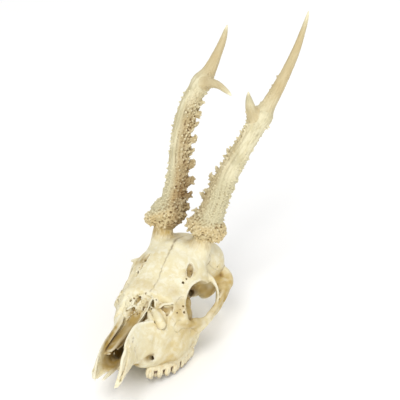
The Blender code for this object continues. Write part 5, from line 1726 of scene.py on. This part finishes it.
class AntlerSettings(bpy.types.PropertyGroup):
    """Sizes and colours of the antlers."""

    antler_voxel: number_property("Antler detail", "Grid step of the antlers, in millimetres", 0.42)
    granule_spacing: number_property("Granule gap", "Least gap of two granules, in millimetres", 1.9)
    granule_smallest: number_property("Smallest granule", "Least radius, in millimetres", 0.5)
    granule_largest: number_property("Largest granule", "Largest radius, in millimetres", 1.15)
    granule_height: number_property("Granule height", "Most height, in radii", 2.0)
    pearl_spacing: number_property("Pearl gap", "Least gap of two pearls, in millimetres", 3.0)
    pearl_smallest: number_property("Smallest pearl", "Least radius, in millimetres", 0.75)
    pearl_largest: number_property("Largest pearl", "Largest radius, in millimetres", 1.9)
    pearl_height: number_property("Pearl height", "Most height, in radii", 2.2)
    seed: IntProperty(name="Seed", description="Start of the pearls' random places", default=7)
    antler: colour_property("Antler", "Main colour of the antlers", (0.70, 0.645, 0.44))
    antler_grey: colour_property("Grey antler", "Greyer, granular parts of the antlers", (0.55, 0.50, 0.32))
    antler_furrow: colour_property("Furrow", "Streaks along the antlers", (0.50, 0.43, 0.24))
    # Brown inner sides, and painted shade in wide hollows and low on the inner sides
    antler_brown_and_shade: colour_property("Brown antler", "The pearled inner sides, and painted shade in wide hollows", (0.40, 0.27, 0.11))
    antler_golden: colour_property("Coronet", "The coronets", (0.56, 0.43, 0.215))
    # Painted shade between the pearls, and the dark low inner sides
    antler_dark_and_shade: colour_property("Dark antler and shade", "Painted shade between the pearls, and dark low inner sides", (0.15, 0.078, 0.024))
    antler_tip: colour_property("Pearl tips", "Rubbed tips of pearls and tines", (0.86, 0.79, 0.56))
    # Stain near the points, with painted shade
    antler_ochre: colour_property("Ochre", "Stains near the points, and painted shade on them", (0.52, 0.41, 0.22))


class StageSettings(bpy.types.PropertyGroup):
    """The floor and the studio light."""

    floor: colour_property("Floor", "Colour of the floor", (0.97, 0.97, 0.97))
    surround: number_property("Surround", "Strength of the light from all round", 0.62)
    key_power: number_property("Key light", "Power of the main light", 21.0, unit="POWER")
    fill_power: number_property("Fill light", "Power of the fill light", 9.0, unit="POWER")
    back_power: number_property("Back light", "Power of the light from behind", 7.0, unit="POWER")


class SKULL_OT_bones(bpy.types.Operator):
    """Make the bones of the skull"""

    bl_idname = "skull.bones"
    bl_label = "Bones"

    def execute(self, context):
        look = context.scene.skull_settings
        field = skull_field(look.bone_voxel)
        wide, fine = field.hollowness(4.5), field.hollowness(1.3)
        material = bone_material(look)
        for name, region in bone_regions(field).items():
            item = piece_from(f"{name}_bone", *field.surface(region))
            dress_bone(item, field, wide, fine, region)
            finish_piece(item, [name], material)
        return {"FINISHED"}


class SKULL_OT_teeth(bpy.types.Operator):
    """Make the two rows of cheek teeth"""

    bl_idname = "skull.teeth"
    bl_label = "Cheek teeth"

    def execute(self, context):
        look = context.scene.skull_settings
        material = tooth_material(look)
        for side, sign in SIDES:
            field = tooth_field(sign, look.tooth_voxel)
            item = piece_from(f"tooth_row_{side}", *field.surface())
            dress_tooth(item, field)
            finish_piece(item, [f"teeth_{side}"], material)
        return {"FINISHED"}


class SKULL_OT_antlers(bpy.types.Operator):
    """Make both antlers with their coronets and pearls"""

    bl_idname = "skull.antlers"
    bl_label = "Antlers"

    def execute(self, context):
        settings = context.scene.antler_settings
        material = antler_material(settings)
        for side in ("left", "right"):
            item = build_antler(side, settings, material)
            nodes = [f"antler_{side}_{part}" for part in ("beam", "point", "tine")]
            finish_piece(item, nodes, material)
        return {"FINISHED"}


class SKULL_OT_stage(bpy.types.Operator):
    """Make the floor, the lights and the camera"""

    bl_idname = "skull.stage"
    bl_label = "Stage"

    def execute(self, context):
        settings = context.scene.stage_settings
        corners = FLOOR_HALF * np.array([(-1, -1, 0), (1, -1, 0), (1, 1, 0), (-1, 1, 0)])
        floor = bpy.data.objects.new("floor", new_mesh("floor", corners, np.array([[0, 1, 2, 3]])))
        floor.data.materials.append(floor_material(settings.floor))
        context.scene.collection.objects.link(floor)
        world = bpy.data.worlds.new("Surround")
        world.use_nodes = True
        surround = world.node_tree.nodes["Background"]
        surround.inputs["Color"].default_value = (1.0, 1.0, 1.0, 1.0)
        surround.inputs["Strength"].default_value = settings.surround
        context.scene.world = world
        for name, light in LIGHTS.items():
            add_light(name, *light, getattr(settings, f"{name}_power"))
        context.scene.view_settings.view_transform = "Standard"
        add_camera()
        return {"FINISHED"}


class SKULL_PT_panel(bpy.types.Panel):
    """The skull's sizes, colours and builders"""

    bl_idname = "SKULL_PT_panel"
    bl_label = "Roe deer skull"
    bl_space_type = "VIEW_3D"
    bl_region_type = "UI"
    bl_category = "Skull"

    def draw(self, context):
        scene = context.scene
        for group in (scene.skull_settings, scene.antler_settings, scene.stage_settings):
            box = self.layout.box()
            for name in group.__annotations__:
                box.prop(group, name)
        for operator in BUILDERS:
            self.layout.operator(operator.bl_idname)


BUILDERS = (SKULL_OT_stage, SKULL_OT_bones, SKULL_OT_teeth, SKULL_OT_antlers)
CLASSES = (SkullSettings, AntlerSettings, StageSettings, *BUILDERS, SKULL_PT_panel)


def register():
    for cls in CLASSES:
        bpy.utils.register_class(cls)
    bpy.types.Scene.skull_settings = PointerProperty(type=SkullSettings)
    bpy.types.Scene.antler_settings = PointerProperty(type=AntlerSettings)
    bpy.types.Scene.stage_settings = PointerProperty(type=StageSettings)


def unregister():
    del bpy.types.Scene.skull_settings, bpy.types.Scene.antler_settings, bpy.types.Scene.stage_settings
    for cls in reversed(CLASSES):
        bpy.utils.unregister_class(cls)


def main():
    register()
    bpy.ops.skull.stage()
    bpy.ops.skull.bones()
    bpy.ops.skull.teeth()
    bpy.ops.skull.antlers()


if __name__ == "__main__":
    main()
